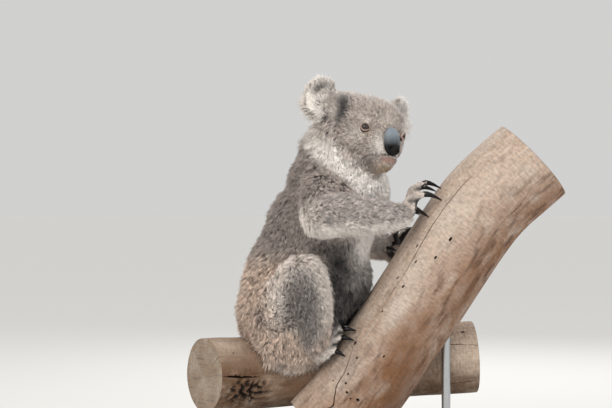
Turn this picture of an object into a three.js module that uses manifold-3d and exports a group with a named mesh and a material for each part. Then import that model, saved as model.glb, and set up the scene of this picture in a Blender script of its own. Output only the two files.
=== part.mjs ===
// A life-size koala that sits on a sawn log and grips a sloping limb, held by a display stand.
// Millimetres, +Z up. The koala's body faces +X, its right side is towards -Y, and its head is
// turned towards -Y. The solids reach to the tips of the coat. While the koala is shaped, Z = 0 is
// the underside of the rump; at the end everything is moved so that the origin is on the floor.

import * as THREE from 'three';
import { mergeVertices } from 'three/addons/utils/BufferGeometryUtils.js';
import Module from 'manifold-3d';

const wasm = await Module();
wasm.setup();

// ---------------------------------------------------------------- driving dimensions

const GAP = 0.35;                      // clearance between neighbouring solids
const FACET = 0.3;                     // how far a facet may stray from the form it follows
const SLIVER = 0.05;                   // facets finer than this are merged after a cut

// Head
const HEAD_AT = [89, -18, 438];        // centre of the head, level with the eyes
const HEAD_TURN = 35;                  // degrees from facing -Y towards +X
const HEAD_TILT = 9.5;                 // degrees, left ear lower
const HEAD_DETAIL = 5;
const EYE_RADIUS = 9.5;
const EYE_SPREAD = 40;                 // from the midline to each eye's centre
const EYE_DEPTH = 38.5;                // ahead of the head's centre
const EYE_DROP = 6.5;                   // below it
const NOSE_SIZE = { wide: 17, thick: 11, tall: 26.5 };
const NOSE_AT = [0, -69, -25];
const NOSE_LEAN = 14;                  // degrees, the lower end further forward
const EAR_SIZE = { wide: 33, thick: 17, tall: 40 };
const EAR_AT = [88, 40, 42];
const EAR_TURN = 30;                   // degrees, each ear opens outwards

// Perch
const LIMB_RADIUS = 83;
const LIMB_AXIS = [[10, 0, -100], [65, 0, -33], [169, 0, 116], [297, 0, 303], [382, 0, 383]];
const LOG_RADIUS = 66;
const LOG_AXIS = [[-204, -58, 2], [-124, -8, 2], [-20, 40, 4], [120, 68, 12], [285, 76, 22]];

// Stand
const BASE_SIZE = { long: 500, wide: 330, thick: 20, corner: 40 };
const BASE_MIDDLE = [92, 0];
const BASE_TOP = -176;
const ROD_RADIUS = 8;
const ROD_FOOT = { radius: 24, thick: 6 };
const LIMB_ROD_AT = [226, -8];
const LOG_ROD_AT = [-142, -18];

// ---------------------------------------------------------------- finishes

const finishes = {
  fur: { color: 0x9a928b, roughness: 0.95, metalness: 0 },
  pale_fur: { color: 0xded7cd, roughness: 0.95, metalness: 0 },
  nose: { color: 0x2c2f35, roughness: 0.45, metalness: 0 },
  eye: { color: 0x4a2f1e, roughness: 0.08, metalness: 0 },
  claw: { color: 0x191817, roughness: 0.3, metalness: 0 },
  wood: { color: 0xc6a98c, roughness: 0.75, metalness: 0 },
  base: { color: 0x3a3835, roughness: 0.6, metalness: 0 },
  rod: { color: 0x8d9094, roughness: 0.35, metalness: 1 },
};

// ---------------------------------------------------------------- solids

const vector = (xyz) => new THREE.Vector3(...xyz);
const NEAR = vector([0, -1, 0]);       // the koala's right

function solidOf(geometry) {
  const bare = geometry.clone();
  bare.deleteAttribute('normal');
  bare.deleteAttribute('uv');
  const merged = mergeVertices(bare, 1e-3);
  const corners = merged.index.array;
  const kept = [];
  for (let i = 0; i < corners.length; i += 3) {
    const [a, b, c] = [corners[i], corners[i + 1], corners[i + 2]];
    if (a !== b && b !== c && c !== a) kept.push(a, b, c);
  }
  return new wasm.Manifold(new wasm.Mesh({
    numProp: 3,
    vertProperties: new Float32Array(merged.attributes.position.array),
    triVerts: new Uint32Array(kept),
  }));
}

function geometryOf(solid) {
  const mesh = solid.getMesh();
  const geometry = new THREE.BufferGeometry();
  geometry.setAttribute('position', new THREE.BufferAttribute(mesh.vertProperties, 3));
  geometry.setIndex(new THREE.BufferAttribute(mesh.triVerts, 1));
  return geometry;
}

function volumeOf(solid) {
  const { vertProperties: at, triVerts: corners } = solid.getMesh();
  const corner = (i) => new THREE.Vector3(at[3 * i], at[3 * i + 1], at[3 * i + 2]);
  let total = 0;
  for (let i = 0; i < corners.length; i += 3) {
    const crossed = corner(corners[i + 1]).cross(corner(corners[i + 2]));
    total += corner(corners[i]).dot(crossed) / 6;
  }
  return total;
}

// A cut can leave crumbs beside the piece itself; the biggest body is the piece.
function biggestBody(solid) {
  const bodies = solid.decompose();
  return bodies.reduce((best, body) => (volumeOf(body) > volumeOf(best) ? body : best));
}

const joined = (solids) => solids.reduce((sum, solid) => sum.add(solid));

// Every shape is a function of how far it is grown, so that a neighbour can be cut with clearance.
const together = (...shapes) => (grow) => joined(shapes.map((shape) => shape(grow)));

// Moves each vertex of a unit capsule or cylinder, whose axis is Y, onto a curve.
// size(t) gives the half widths across `side` and across the third direction.
function bendAlong(geometry, reach, curve, size, side, grow) {
  const position = geometry.attributes.position;
  const vertex = new THREE.Vector3();
  for (let i = 0; i < position.count; i += 1) {
    vertex.fromBufferAttribute(position, i);
    const t = THREE.MathUtils.clamp(vertex.y / (2 * reach) + 0.5, 0, 1);
    const past = vertex.y - (2 * t - 1) * reach;
    const along = curve.getTangent(t);
    const across = side.clone().addScaledVector(along, -side.dot(along)).normalize();
    const third = across.clone().cross(along);
    const [wide, deep] = size(t, Math.atan2(vertex.z, vertex.x));
    const point = curve.getPoint(t)
      .addScaledVector(across, vertex.x * (wide + grow))
      .addScaledVector(third, vertex.z * (deep + grow))
      .addScaledVector(along, past * (Math.min(wide, deep) + grow));
    position.setXYZ(i, point.x, point.y, point.z);
  }
  return geometry;
}

// A round-ended form along a path. A station is [x, y, z, half width across side, other half width].
function bodyAlong(stations, { side = NEAR, around = 11, rings = 2, steps = 4 } = {}) {
  const middle = new THREE.CatmullRomCurve3(stations.map(([x, y, z]) => new THREE.Vector3(x, y, z)));
  const widths = new THREE.CatmullRomCurve3(
    stations.map(([, , , wide, deep = wide]) => new THREE.Vector3(wide, deep, 0)));
  const size = (t) => {
    const pair = widths.getPoint(t);
    return [pair.x, pair.y];
  };
  return (grow) => {
    const capsule = new THREE.CapsuleGeometry(1, 2, rings, around, steps);
    return solidOf(bendAlong(capsule, 1, middle, size, side, grow));
  };
}

// A sawn length of wood: flat ends, and a girth that wanders a little.
function woodAlong(points, radius, { around, steps, wander }) {
  const curve = new THREE.CatmullRomCurve3(points.map(vector));
  const size = (t, angle) => {
    const girth = radius * (1 + wander * (Math.sin(2 * angle + 5 * t) + Math.sin(9 * t + angle)) / 2);
    return [girth, girth];
  };
  return (grow) => {
    const log = new THREE.CylinderGeometry(1, 1, 2, around, steps);
    return solidOf(bendAlong(log, 1, curve, size, NEAR, grow));
  };
}

// Distance from a point to an ellipsoid lump, near enough to find its surface.
function lumpDistance(point, { at, size }) {
  const scaled = point.clone().sub(vector(at)).divide(vector(size));
  const near = scaled.length();
  const slope = scaled.clone().divide(vector(size)).length();
  return slope === 0 ? -Math.min(...size) : near * (near - 1) / slope;
}

// Lumps melt into each other over the blend distance.
function meltedDistance(point, lumps, blend) {
  return lumps.reduce((sum, lump) => {
    const next = lumpDistance(point, lump);
    const overlap = Math.max(blend - Math.abs(sum - next), 0) / blend;
    return Math.min(sum, next) - overlap * overlap * blend / 4;
  }, Infinity);
}

// A smooth body round its centre: rays come in from outside and stop at the melted lumps.
function meltedBody(centre, lumps, { detail, blend, pose = new THREE.Matrix4() }) {
  const OUTSIDE = 400;
  const STEPS = 60;
  const ball = new THREE.IcosahedronGeometry(1, detail);
  const position = ball.attributes.position;
  const ray = new THREE.Vector3();
  const reached = [];
  for (let i = 0; i < position.count; i += 1) {
    ray.fromBufferAttribute(position, i).normalize();
    let reach = OUTSIDE;
    for (let step = 0; step < STEPS; step += 1) {
      const point = vector(centre).addScaledVector(ray, reach);
      reach -= 0.8 * meltedDistance(point, lumps, blend);
    }
    reached.push(reach);
  }
  return (grow) => {
    const body = ball.clone();
    for (let i = 0; i < position.count; i += 1) {
      ray.fromBufferAttribute(position, i).normalize();
      const point = vector(centre).addScaledVector(ray, reached[i] + grow);
      body.attributes.position.setXYZ(i, point.x, point.y, point.z);
    }
    return solidOf(body.applyMatrix4(pose));
  };
}

// An ellipsoid in a posed frame, with its own lean about X and turn about Z.
function ellipsoid(at, size, { lean = 0, turn = 0, pose = new THREE.Matrix4(), around = 20 } = {}) {
  const turned = new THREE.Euler(THREE.MathUtils.degToRad(lean), 0, THREE.MathUtils.degToRad(turn), 'ZYX');
  return (grow) => {
    const shape = new THREE.SphereGeometry(1, around, Math.round(around * 0.6));
    shape.rotateX(Math.PI / 2);
    shape.scale(size[0] + grow, size[1] + grow, size[2] + grow);
    shape.applyMatrix4(new THREE.Matrix4().makeRotationFromEuler(turned).setPosition(...at));
    return solidOf(shape.applyMatrix4(pose));
  };
}

const mirrored = (lump) => [lump, { ...lump, at: [-lump.at[0], lump.at[1], lump.at[2]] }];

// ---------------------------------------------------------------- perch and stand

const limbCurve = new THREE.CatmullRomCurve3(LIMB_AXIS.map(vector));
const limb = woodAlong(LIMB_AXIS, LIMB_RADIUS, { around: 18, steps: 6, wander: 0.02 });
const log = woodAlong(LOG_AXIS, LOG_RADIUS, { around: 14, steps: 5, wander: 0.025 });

// A place by the limb: millimetres along its axis from the lower end, degrees round it from its
// upper side towards the koala's right, and height over the wood.
function byLimb(along, degrees, lift) {
  const share = along / limbCurve.getLength();
  const tangent = limbCurve.getTangentAt(share);
  const upper = new THREE.Vector3(-tangent.z, 0, tangent.x);
  const angle = THREE.MathUtils.degToRad(degrees);
  return limbCurve.getPointAt(share)
    .addScaledVector(upper, Math.cos(angle) * (LIMB_RADIUS + lift))
    .addScaledVector(NEAR, Math.sin(angle) * (LIMB_RADIUS + lift));
}

function standBase() {
  const BEVEL = 2.5;
  const { long, wide, thick, corner } = BASE_SIZE;
  const [x, y] = [long / 2 - BEVEL, wide / 2 - BEVEL];
  const outline = new THREE.Shape();
  outline.moveTo(-x + corner, -y);
  outline.absarc(x - corner, -y + corner, corner, -Math.PI / 2, 0);
  outline.absarc(x - corner, y - corner, corner, 0, Math.PI / 2);
  outline.absarc(-x + corner, y - corner, corner, Math.PI / 2, Math.PI);
  outline.absarc(-x + corner, -y + corner, corner, Math.PI, 1.5 * Math.PI);
  const plate = new THREE.ExtrudeGeometry(outline, {
    depth: thick - 2 * BEVEL, bevelThickness: BEVEL, bevelSize: BEVEL, bevelSegments: 1, curveSegments: 3,
  });
  plate.translate(BASE_MIDDLE[0], BASE_MIDDLE[1], BASE_TOP - thick + BEVEL);
  return solidOf(plate);
}

// A round rod with a flange that stands on the base; its top is cut to fit under the wood.
function standRod([x, y], top, wood) {
  const { radius, thick } = ROD_FOOT;
  const foot = BASE_TOP + GAP;
  const profile = [[0, foot], [radius, foot], [radius, foot + thick], [ROD_RADIUS, foot + thick],
    [ROD_RADIUS, top], [0, top]].map(([r, z]) => new THREE.Vector2(r, z));
  const rod = new THREE.LatheGeometry(profile, 14);
  rod.rotateX(Math.PI / 2);
  rod.translate(x, y, 0);
  return solidOf(rod).subtract(wood(GAP));
}

// ---------------------------------------------------------------- head

const headPose = new THREE.Matrix4()
  .makeRotationFromEuler(new THREE.Euler(
    0, THREE.MathUtils.degToRad(HEAD_TILT), THREE.MathUtils.degToRad(HEAD_TURN), 'ZYX'))
  .setPosition(...HEAD_AT);

const headLumps = [
  { at: [0, 8, 4], size: [72, 63, 59] },                       // skull
  ...mirrored({ at: [45, 24, 29], size: [36, 38, 35] }),       // corners of the crown
  ...mirrored({ at: [37, 2, -23], size: [35, 42, 36] }),       // cheeks
  ...mirrored({ at: [26, -33, 17], size: [24, 20, 18] }),      // brows
  { at: [0, -34, -4], size: [22, 29, 24] },                    // bridge of the nose
  { at: [0, -47, -39], size: [30, 31, 25] },                   // muzzle
  { at: [0, -48, -65], size: [24, 29, 21] },                   // chin
];

const headBody = meltedBody([0, -8, -8], headLumps, { detail: HEAD_DETAIL, blend: 16, pose: headPose });

const nosePad = ellipsoid(NOSE_AT, [NOSE_SIZE.wide, NOSE_SIZE.thick, NOSE_SIZE.tall],
  { lean: -NOSE_LEAN, pose: headPose, around: 12 });

const eye = (side) => ellipsoid([side * EYE_SPREAD, -EYE_DEPTH, -EYE_DROP],
  [EYE_RADIUS, EYE_RADIUS, EYE_RADIUS], { pose: headPose, around: 10 });

// Each ear is a thick round dish. side is -1 for the right ear and 1 for the left one.
function ear(side) {
  const { wide, thick, tall } = EAR_SIZE;
  const at = [side * EAR_AT[0], EAR_AT[1], EAR_AT[2]];
  const turn = side * EAR_TURN;
  const disc = ellipsoid(at, [wide, thick, tall], { turn, pose: headPose, around: 16 });
  const root = ellipsoid([side * 62, 34, 26], [24, 22, 30], { turn, pose: headPose, around: 10 });
  const opening = new THREE.Vector3(0, -thick * 1.25, 2)
    .applyAxisAngle(vector([0, 0, 1]), THREE.MathUtils.degToRad(turn)).add(vector(at));
  const hollow = ellipsoid(opening.toArray(), [wide * 0.62, thick * 0.9, tall * 0.66],
    { turn, pose: headPose, around: 12 });
  return (grow) => disc(grow).add(root(grow)).subtract(hollow(-grow));
}

// ---------------------------------------------------------------- trunk and neck

const trunkLumps = [
  { at: [-53, 0, 108], size: [100, 90, 110] },   // rump
  { at: [-52, -30, 52], size: [56, 44, 50] },    // near haunch, which hangs over the log
  { at: [-88, -58, 50], size: [36, 31, 37] },    // wool behind it, which hangs there too
  { at: [-38, 0, 180], size: [98, 86, 94] },     // loin
  { at: [2, 0, 172], size: [96, 82, 76] },       // belly
  { at: [3, 0, 270], size: [101, 84, 84] },      // ribs
  { at: [28, 0, 322], size: [84, 86, 56] },      // shoulders
  { at: [75, 0, 340], size: [58, 60, 54] },      // bib
];

const trunk = meltedBody([-15, 0, 200], trunkLumps, { detail: 4, blend: 26 });

const neck = bodyAlong([
  [18, 0, 330, 76, 84], [36, -5, 390, 70, 72], [52, -10, 436, 62, 56],
], { around: 12, rings: 2, steps: 2 });

// ---------------------------------------------------------------- arms and hands

const upperArm = {
  right: bodyAlong([[14, -60, 322, 44, 56], [4, -84, 302, 38, 46], [0, -98, 288, 32, 36]]),
  left: bodyAlong([[30, 58, 318, 44, 54], [44, 84, 284, 36, 42], [52, 98, 258, 31, 35]]),
};

const forearm = {
  right: bodyAlong([[-2, -104, 283, 38, 40], [40, -101, 287, 34, 38], [90, -86, 284, 29, 33],
    [140, -66, 283, 22, 24]]),
  left: bodyAlong([[54, 104, 250, 37, 40], [88, 104, 236, 32, 34], [128, 94, 223, 23, 25]]),
};

// A digit is [along, degrees, lift] by the limb at its root, its middle and its tip, then its claw's
// point. The first two digits of a koala's hand are opposed to the other three, and all are clawed.
const PALM = [406, 26, 38];
const KNUCKLES = [420, 24, 39];
const handDigits = [
  [[434, 20, 39], [448, 18, 42], [459, 18, 35], [469, 14, 1.2]],
  [[420, 25, 36], [434, 26, 38], [446, 28, 31], [453, 34, 1.2]],
  [[405, 28, 37], [412, 29, 38], [417, 30, 33], [418, 32, 1.2]],
  [[427, 13, 36], [441, 5, 38], [452, -1, 28], [462, -5, 1.2]],
  [[405, 17, 34], [408, 7, 35], [411, -2, 25], [415, -10, 1.2]],
];

const HEEL = [113, 30, 22];
const BALL = [138, 26, 17];
const footDigits = [
  [[150, 25, 18], [161, 26, 20], [169, 28, 15], [179, 37, 1.2]],
  [[141, 31, 18], [149, 32, 20], [156, 35, 15], [163, 43, 1.2]],
  [[124, 33, 19], [127, 36, 18], [130, 39, 14], [131, 46, 1.2]],
  [[148, 16, 17], [160, 12, 18], [168, 10, 13], [180, 8, 1.2]],
];
const bigToe = [[124, 20, 14], [127, 8, 13], [133, -2, 10]];

// The left hand and foot mirror the right ones, further along or round the limb.
const gripOf = {
  hand_right: { shift: 0, side: 1, round: 0 },
  hand_left: { shift: -76, side: -1, round: 30 },
  foot_right: { shift: 0, side: 1, round: 0 },
  foot_left: { shift: 68, side: -1, round: 4 },
};

const placed = (grip, [along, degrees, lift]) =>
  byLimb(along + grip.shift, grip.side * (degrees + grip.round), lift);

function digit(grip, [root, middle, tip], rootRadius, tipRadius) {
  const radii = [rootRadius, (rootRadius + tipRadius) / 2, tipRadius];
  const stations = [root, middle, tip].map((spot, i) => [...placed(grip, spot).toArray(), radii[i]]);
  return bodyAlong(stations, { around: 6, rings: 1, steps: 2, side: vector([0.3, -1, 0.2]) });
}

// A claw leaves the digit's tip, arches outwards and comes down on the wood.
function claw(grip, [, middle, tip, point], baseRadius) {
  const root = placed(grip, tip);
  const from = root.clone().lerp(placed(grip, middle), 0.15);
  const to = placed(grip, point);
  const arch = placed(grip, [
    (tip[0] * 0.35 + point[0] * 0.65), (tip[1] * 0.45 + point[1] * 0.55), tip[2] * 0.95]);
  const curve = new THREE.QuadraticBezierCurve3(from, arch, to);
  const size = (t) => {
    const radius = 0.9 + (baseRadius - 0.9) * (1 - t ** 1.6);
    return [radius * 0.85, radius];
  };
  return (grow) => {
    const capsule = new THREE.CapsuleGeometry(1, 2, 1, 5, 4);
    return solidOf(bendAlong(capsule, 1, curve, size, vector([0.3, -1, 0.2]), grow));
  };
}

function hand(side, wrist) {
  const grip = gripOf[`hand_${side}`];
  const palm = placed(grip, PALM).toArray();
  const knuckles = placed(grip, KNUCKLES).toArray();
  return together(
    bodyAlong([[...wrist, 16, 17], [...palm, 22, 18]], { around: 8, steps: 2 }),
    bodyAlong([[...palm, 23, 17], [...knuckles, 20, 14]], { around: 8, steps: 2 }),
    ...handDigits.map((spots) => digit(grip, spots, 10.5, 8.5)));
}

function foot(side, ankle) {
  const grip = gripOf[`foot_${side}`];
  const heel = placed(grip, HEEL).toArray();
  const ball = placed(grip, BALL).toArray();
  return together(
    bodyAlong([[...ankle, 16, 17], [...heel, 19, 17]], { around: 8, steps: 2 }),
    bodyAlong([[...heel, 20, 18], [...ball, 21, 14]], { around: 8, steps: 2 }),
    ...footDigits.map((spots) => digit(grip, spots, 9.5, 7.5)),
    digit(grip, bigToe, 9.5, 8));
}

const WRIST = { right: [144, -63, 285], left: [132, 92, 222] };
const ANKLE = { right: [-6, -66, 54], left: [22, 78, 118] };

// ---------------------------------------------------------------- legs

const thigh = {
  right: bodyAlong([[-78, -36, 84, 44, 54], [-60, -68, 132, 40, 51], [-38, -84, 176, 33, 41]]),
  left: bodyAlong([[-72, 36, 92, 44, 54], [-50, 70, 154, 40, 51], [-26, 86, 206, 33, 41]]),
};

const shank = {
  right: bodyAlong([[-31, -93, 180, 40, 44], [-14, -92, 130, 34, 39], [-7, -78, 84, 27, 30],
    [-9, -68, 56, 20, 23]]),
  left: bodyAlong([[-18, 95, 212, 40, 44], [-4, 96, 178, 33, 38], [12, 86, 142, 27, 31],
    [21, 79, 120, 25, 27]]),
};

// ---------------------------------------------------------------- assembly

// In this order each solid keeps its shape against those after it.
const shapes = {
  perch_limb: [limb, 'wood'],
  perch_log: [log, 'wood'],
  eye_right: [eye(-1), 'eye'],
  eye_left: [eye(1), 'eye'],
  nose_pad: [nosePad, 'nose'],
};
const clawed = [['hand', 'finger_claw', handDigits, 6], ['foot', 'toe_claw', footDigits, 5]];
for (const [limbEnd, clawName, digits, radius] of clawed) {
  for (const side of ['right', 'left']) {
    digits.forEach((spots, i) => {
      shapes[`${clawName}_${side}_${i + 1}`] = [claw(gripOf[`${limbEnd}_${side}`], spots, radius), 'claw'];
    });
  }
}
shapes.head = [headBody, 'fur'];
shapes.trunk = [trunk, 'fur'];
shapes.neck = [neck, 'pale_fur'];
shapes.ear_right = [ear(-1), 'pale_fur'];
shapes.ear_left = [ear(1), 'pale_fur'];
for (const side of ['right', 'left']) {
  shapes[`forearm_${side}`] = [forearm[side], 'fur'];
  shapes[`upper_arm_${side}`] = [upperArm[side], 'fur'];
  shapes[`hand_${side}`] = [hand(side, WRIST[side]), 'fur'];
  shapes[`shank_${side}`] = [shank[side], 'fur'];
  shapes[`thigh_${side}`] = [thigh[side], 'fur'];
  shapes[`foot_${side}`] = [foot(side, ANKLE[side]), 'fur'];
}

const boxesMeet = (a, b) => [0, 1, 2].every((k) => a.min[k] < b.max[k] && b.min[k] < a.max[k]);

const solids = {};
const grown = [];
for (const [name, [shape]] of Object.entries(shapes)) {
  const plain = shape(0).asOriginal().simplify(FACET);
  let solid = plain;
  const box = solid.boundingBox();
  for (const other of grown) {
    if (boxesMeet(box, other.box)) solid = solid.subtract(other.solid);
  }
  solids[name] = biggestBody(solid);
  const wider = shape(GAP).asOriginal().simplify(SLIVER).add(plain);
  grown.push({ solid: wider, box: wider.boundingBox() });
}

const koala = new THREE.Group();

function addPart(name, solid, finish) {
  const geometry = geometryOf(solid);
  geometry.computeBoundingBox();
  const middle = geometry.boundingBox.getCenter(new THREE.Vector3());
  geometry.translate(-middle.x, -middle.y, -middle.z);
  const mesh = new THREE.Mesh(geometry, new THREE.MeshStandardMaterial(finishes[finish]));
  mesh.name = name;
  mesh.position.copy(middle);
  koala.add(mesh);
}

for (const [name, [, finish]] of Object.entries(shapes)) addPart(name, solids[name], finish);
addPart('stand_base', standBase(), 'base');
addPart('stand_rod_limb', standRod(LIMB_ROD_AT, 120, limb), 'rod');
addPart('stand_rod_log', standRod(LOG_ROD_AT, 0, log), 'rod');

// The origin is on the floor, under the middle of the whole piece.
koala.updateMatrixWorld(true);
const whole = new THREE.Box3().setFromObject(koala, true);
const middle = whole.getCenter(new THREE.Vector3());
koala.position.set(-middle.x, -middle.y, -whole.min.z);

export default koala;
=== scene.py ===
# %% [markdown]
# # A koala on a sloping limb
# A life-size still model, as a museum shows one: a koala sits on a sawn log, grips a bare limb
# and looks to its right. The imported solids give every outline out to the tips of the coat. Here
# they get what makes an animal: one skin, a coat of tufts over it, eyes, a nose and claws.

import math

import bmesh
import bpy
import numpy as np
from mathutils import Matrix, Vector, noise
from mathutils.bvhtree import BVHTree
from mathutils.kdtree import KDTree

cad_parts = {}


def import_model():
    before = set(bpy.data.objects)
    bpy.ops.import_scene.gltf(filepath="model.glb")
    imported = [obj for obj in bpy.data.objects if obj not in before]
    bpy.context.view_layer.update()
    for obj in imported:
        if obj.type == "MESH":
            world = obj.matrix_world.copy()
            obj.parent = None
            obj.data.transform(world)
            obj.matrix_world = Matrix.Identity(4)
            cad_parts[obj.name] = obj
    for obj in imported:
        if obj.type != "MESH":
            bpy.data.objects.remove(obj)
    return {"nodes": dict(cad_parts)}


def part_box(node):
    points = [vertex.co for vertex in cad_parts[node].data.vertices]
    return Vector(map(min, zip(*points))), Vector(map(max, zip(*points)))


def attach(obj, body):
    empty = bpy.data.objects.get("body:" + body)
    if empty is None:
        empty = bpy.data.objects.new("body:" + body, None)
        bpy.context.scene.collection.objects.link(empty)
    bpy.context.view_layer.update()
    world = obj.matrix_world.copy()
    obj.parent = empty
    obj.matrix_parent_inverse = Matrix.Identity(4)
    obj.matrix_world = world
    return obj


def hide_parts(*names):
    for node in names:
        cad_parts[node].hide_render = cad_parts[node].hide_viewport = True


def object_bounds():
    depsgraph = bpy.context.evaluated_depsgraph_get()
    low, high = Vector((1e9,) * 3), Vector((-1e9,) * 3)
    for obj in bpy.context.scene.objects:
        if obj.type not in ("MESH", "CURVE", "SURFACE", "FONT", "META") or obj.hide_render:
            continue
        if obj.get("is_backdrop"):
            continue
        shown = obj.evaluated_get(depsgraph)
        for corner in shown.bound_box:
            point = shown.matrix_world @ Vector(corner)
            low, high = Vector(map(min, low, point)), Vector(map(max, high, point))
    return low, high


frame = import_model()
cad_low, cad_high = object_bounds()
print("nodes", len(frame["nodes"]), "size", [round(h - l, 3) for l, h in zip(cad_low, cad_high)])

# %% [markdown]
# ## Two frames to think in
# Sizes on an animal are easiest in millimetres from a landmark on its body. The koala's frame
# starts under its rump: X is the way the body faces, Y its left side, Z up. The head has a frame
# of its own, because it is turned and tilted: X to the koala's left, Y backwards, Z up.

# %% Frames
MM = 0.001
BASE_MIDDLE_X = 92
BASE_TOP_Z = -176
base_low, base_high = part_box("stand_base")
ORIGIN = np.array([
    (base_low[0] + base_high[0]) / 2 - BASE_MIDDLE_X * MM,
    (base_low[1] + base_high[1]) / 2,
    base_high[2] - BASE_TOP_Z * MM,
])
HEAD_AT = np.array([89, -18, 438])
HEAD_TURN = math.radians(35)
HEAD_TILT = math.radians(9.5)
HEAD_AXES = np.array(Matrix.Rotation(HEAD_TURN, 3, "Z") @ Matrix.Rotation(HEAD_TILT, 3, "Y"))


def from_koala(points):
    """Millimetres in the koala's frame to metres in the scene."""
    return np.asarray(points, float) * MM + ORIGIN


def to_koala(points):
    return (np.asarray(points, float) - ORIGIN) / MM


def from_head(points):
    """Millimetres in the head's frame to metres in the scene."""
    return from_koala(np.asarray(points, float) @ HEAD_AXES.T + HEAD_AT)


def to_head(points):
    return (to_koala(points) - HEAD_AT) @ HEAD_AXES


print("koala's origin", ORIGIN.round(4))

# %% [markdown]
# ## The camera
# A long lens, level with the chest and 2.6 m away, keeps the animal's proportions.

# %% Camera
CAMERA_AT = (-25, -2600, 304)
LENS = 85
camera = bpy.data.objects.new("camera", bpy.data.cameras.new("camera"))
camera.data.lens = LENS
camera.data.sensor_width = 36
camera.location = from_koala(CAMERA_AT)
camera.rotation_euler = (math.pi / 2, 0, 0)
bpy.context.collection.objects.link(camera)
bpy.context.scene.camera = camera
bpy.context.scene.view_settings.view_transform = "Standard"
print("camera", camera.location[:], "lens", LENS, "mm")

# %% [markdown]
# ## Meshes from arrays
# Fur means hundreds of thousands of faces. Adding them one by one would take minutes, so points
# and faces are made as numpy arrays and handed to Blender in one go.

# %% Mesh helpers


def mesh_piece(name, points, faces, smooth=True):
    """An object from points in metres and faces that all have the same number of corners."""
    faces = np.ascontiguousarray(faces, dtype=np.int32)
    mesh = bpy.data.meshes.new(name)
    mesh.vertices.add(len(points))
    mesh.vertices.foreach_set("co", np.asarray(points, dtype=np.float32).ravel())
    mesh.loops.add(faces.size)
    mesh.loops.foreach_set("vertex_index", faces.ravel())
    mesh.polygons.add(len(faces))
    starts = np.arange(0, faces.size, faces.shape[1], dtype=np.int32)
    mesh.polygons.foreach_set("loop_start", starts)
    mesh.update(calc_edges=True)
    if smooth:
        mesh.shade_smooth()
    piece = bpy.data.objects.new(name, mesh)
    bpy.context.collection.objects.link(piece)
    return piece


def read_points(mesh):
    points = np.empty(len(mesh.vertices) * 3, dtype=np.float32)
    mesh.vertices.foreach_get("co", points)
    return points.reshape(-1, 3).astype(float)


def read_triangles(mesh):
    mesh.calc_loop_triangles()
    corners = np.empty(len(mesh.loop_triangles) * 3, dtype=np.int32)
    mesh.loop_triangles.foreach_get("vertices", corners)
    return corners.reshape(-1, 3)


def unit(vectors):
    return vectors / np.maximum(np.linalg.norm(vectors, axis=-1, keepdims=True), 1e-12)


def normals_of(points, triangles):
    """Unit normals of the points, weighted by the area of the triangles round them."""
    a, b, c = (points[triangles[:, k]] for k in range(3))
    across = np.cross(b - a, c - a)
    normals = np.zeros_like(points)
    for k in range(3):
        for axis in range(3):
            normals[:, axis] += np.bincount(triangles[:, k], across[:, axis], len(points))
    return unit(normals)


def joined(forms):
    """Several forms, each of points and faces, as one."""
    starts = np.cumsum([0] + [len(points) for points, _ in forms[:-1]])
    faces = [faces + start for (_, faces), start in zip(forms, starts)]
    return np.concatenate([points for points, _ in forms]), np.concatenate(faces)


def modified(piece, kind, **settings):
    """Applies one modifier and gives back the piece."""
    modifier = piece.modifiers.new(kind.lower(), kind)
    for key, value in settings.items():
        setattr(modifier, key, value)
    graph = bpy.context.evaluated_depsgraph_get()
    mesh = bpy.data.meshes.new_from_object(piece.evaluated_get(graph))
    piece.modifiers.clear()
    piece.data = mesh
    return piece


# %% [markdown]
# ## The body's regions
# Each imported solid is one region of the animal. A region says how deep its coat is, how long and
# wide its tufts are, how much they stand up, and where a hair there points. Later these values
# are blended over the skin, so that no border shows between two regions.

# %% Regions
COAT = {  # depth of the coat, tuft length, tuft width, lift in degrees; all but lift in mm
    "head": (6.5, 9.5, 0.95, 27),
    "ear": (2.0, 15.0, 0.95, 34),
    "neck": (11.0, 18.0, 1.35, 37),
    "trunk": (12.0, 18.0, 1.5, 40),
    "upper_arm": (10.0, 15.0, 1.35, 40),
    "forearm": (8.0, 13.0, 1.2, 38),
    "hand": (2.6, 6.0, 0.9, 27),
    "thigh": (11.0, 16.0, 1.4, 42),
    "shank": (8.5, 13.0, 1.25, 40),
    "foot": (2.6, 6.0, 0.9, 27),
}
NOSE_TIP = np.array([0, -78, -22])
EAR_ROOT = np.array([62, 36, 26])
BONES = {  # where a limb's hair starts from and where it points to, on the koala's right
    "upper_arm": ((14, -62, 330), (0, -98, 272)),
    "forearm": ((-10, -100, 292), (150, -64, 272)),
    "hand": ((140, -64, 285), (196, -40, 300)),
    "thigh": ((-78, -36, 84), (-30, -88, 190)),
    "shank": ((-34, -92, 196), (6, -66, 50)),
    "foot": ((0, -70, 50), (58, -42, 62)),
}
BONES_LEFT = {
    "upper_arm": ((30, 58, 326), (54, 98, 246)),
    "forearm": ((50, 104, 256), (134, 92, 214)),
    "hand": ((130, 92, 222), (170, 40, 222)),
    "thigh": ((-72, 36, 92), (-22, 90, 222)),
    "shank": ((-20, 95, 226), (24, 78, 112)),
    "foot": ((20, 78, 118), (84, 44, 130)),
}
flesh = [name for name in frame["nodes"] if name.startswith(tuple(COAT))]


def region_of(node):
    """The region that a node's name starts with."""
    return next(name for name in COAT if node.startswith(name))


def side_of(node):
    """-1 for a node on the koala's right, 1 for one on its left, 0 for one in the middle."""
    return {"right": -1, "left": 1}.get(node.split("_")[-1], 0)


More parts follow.
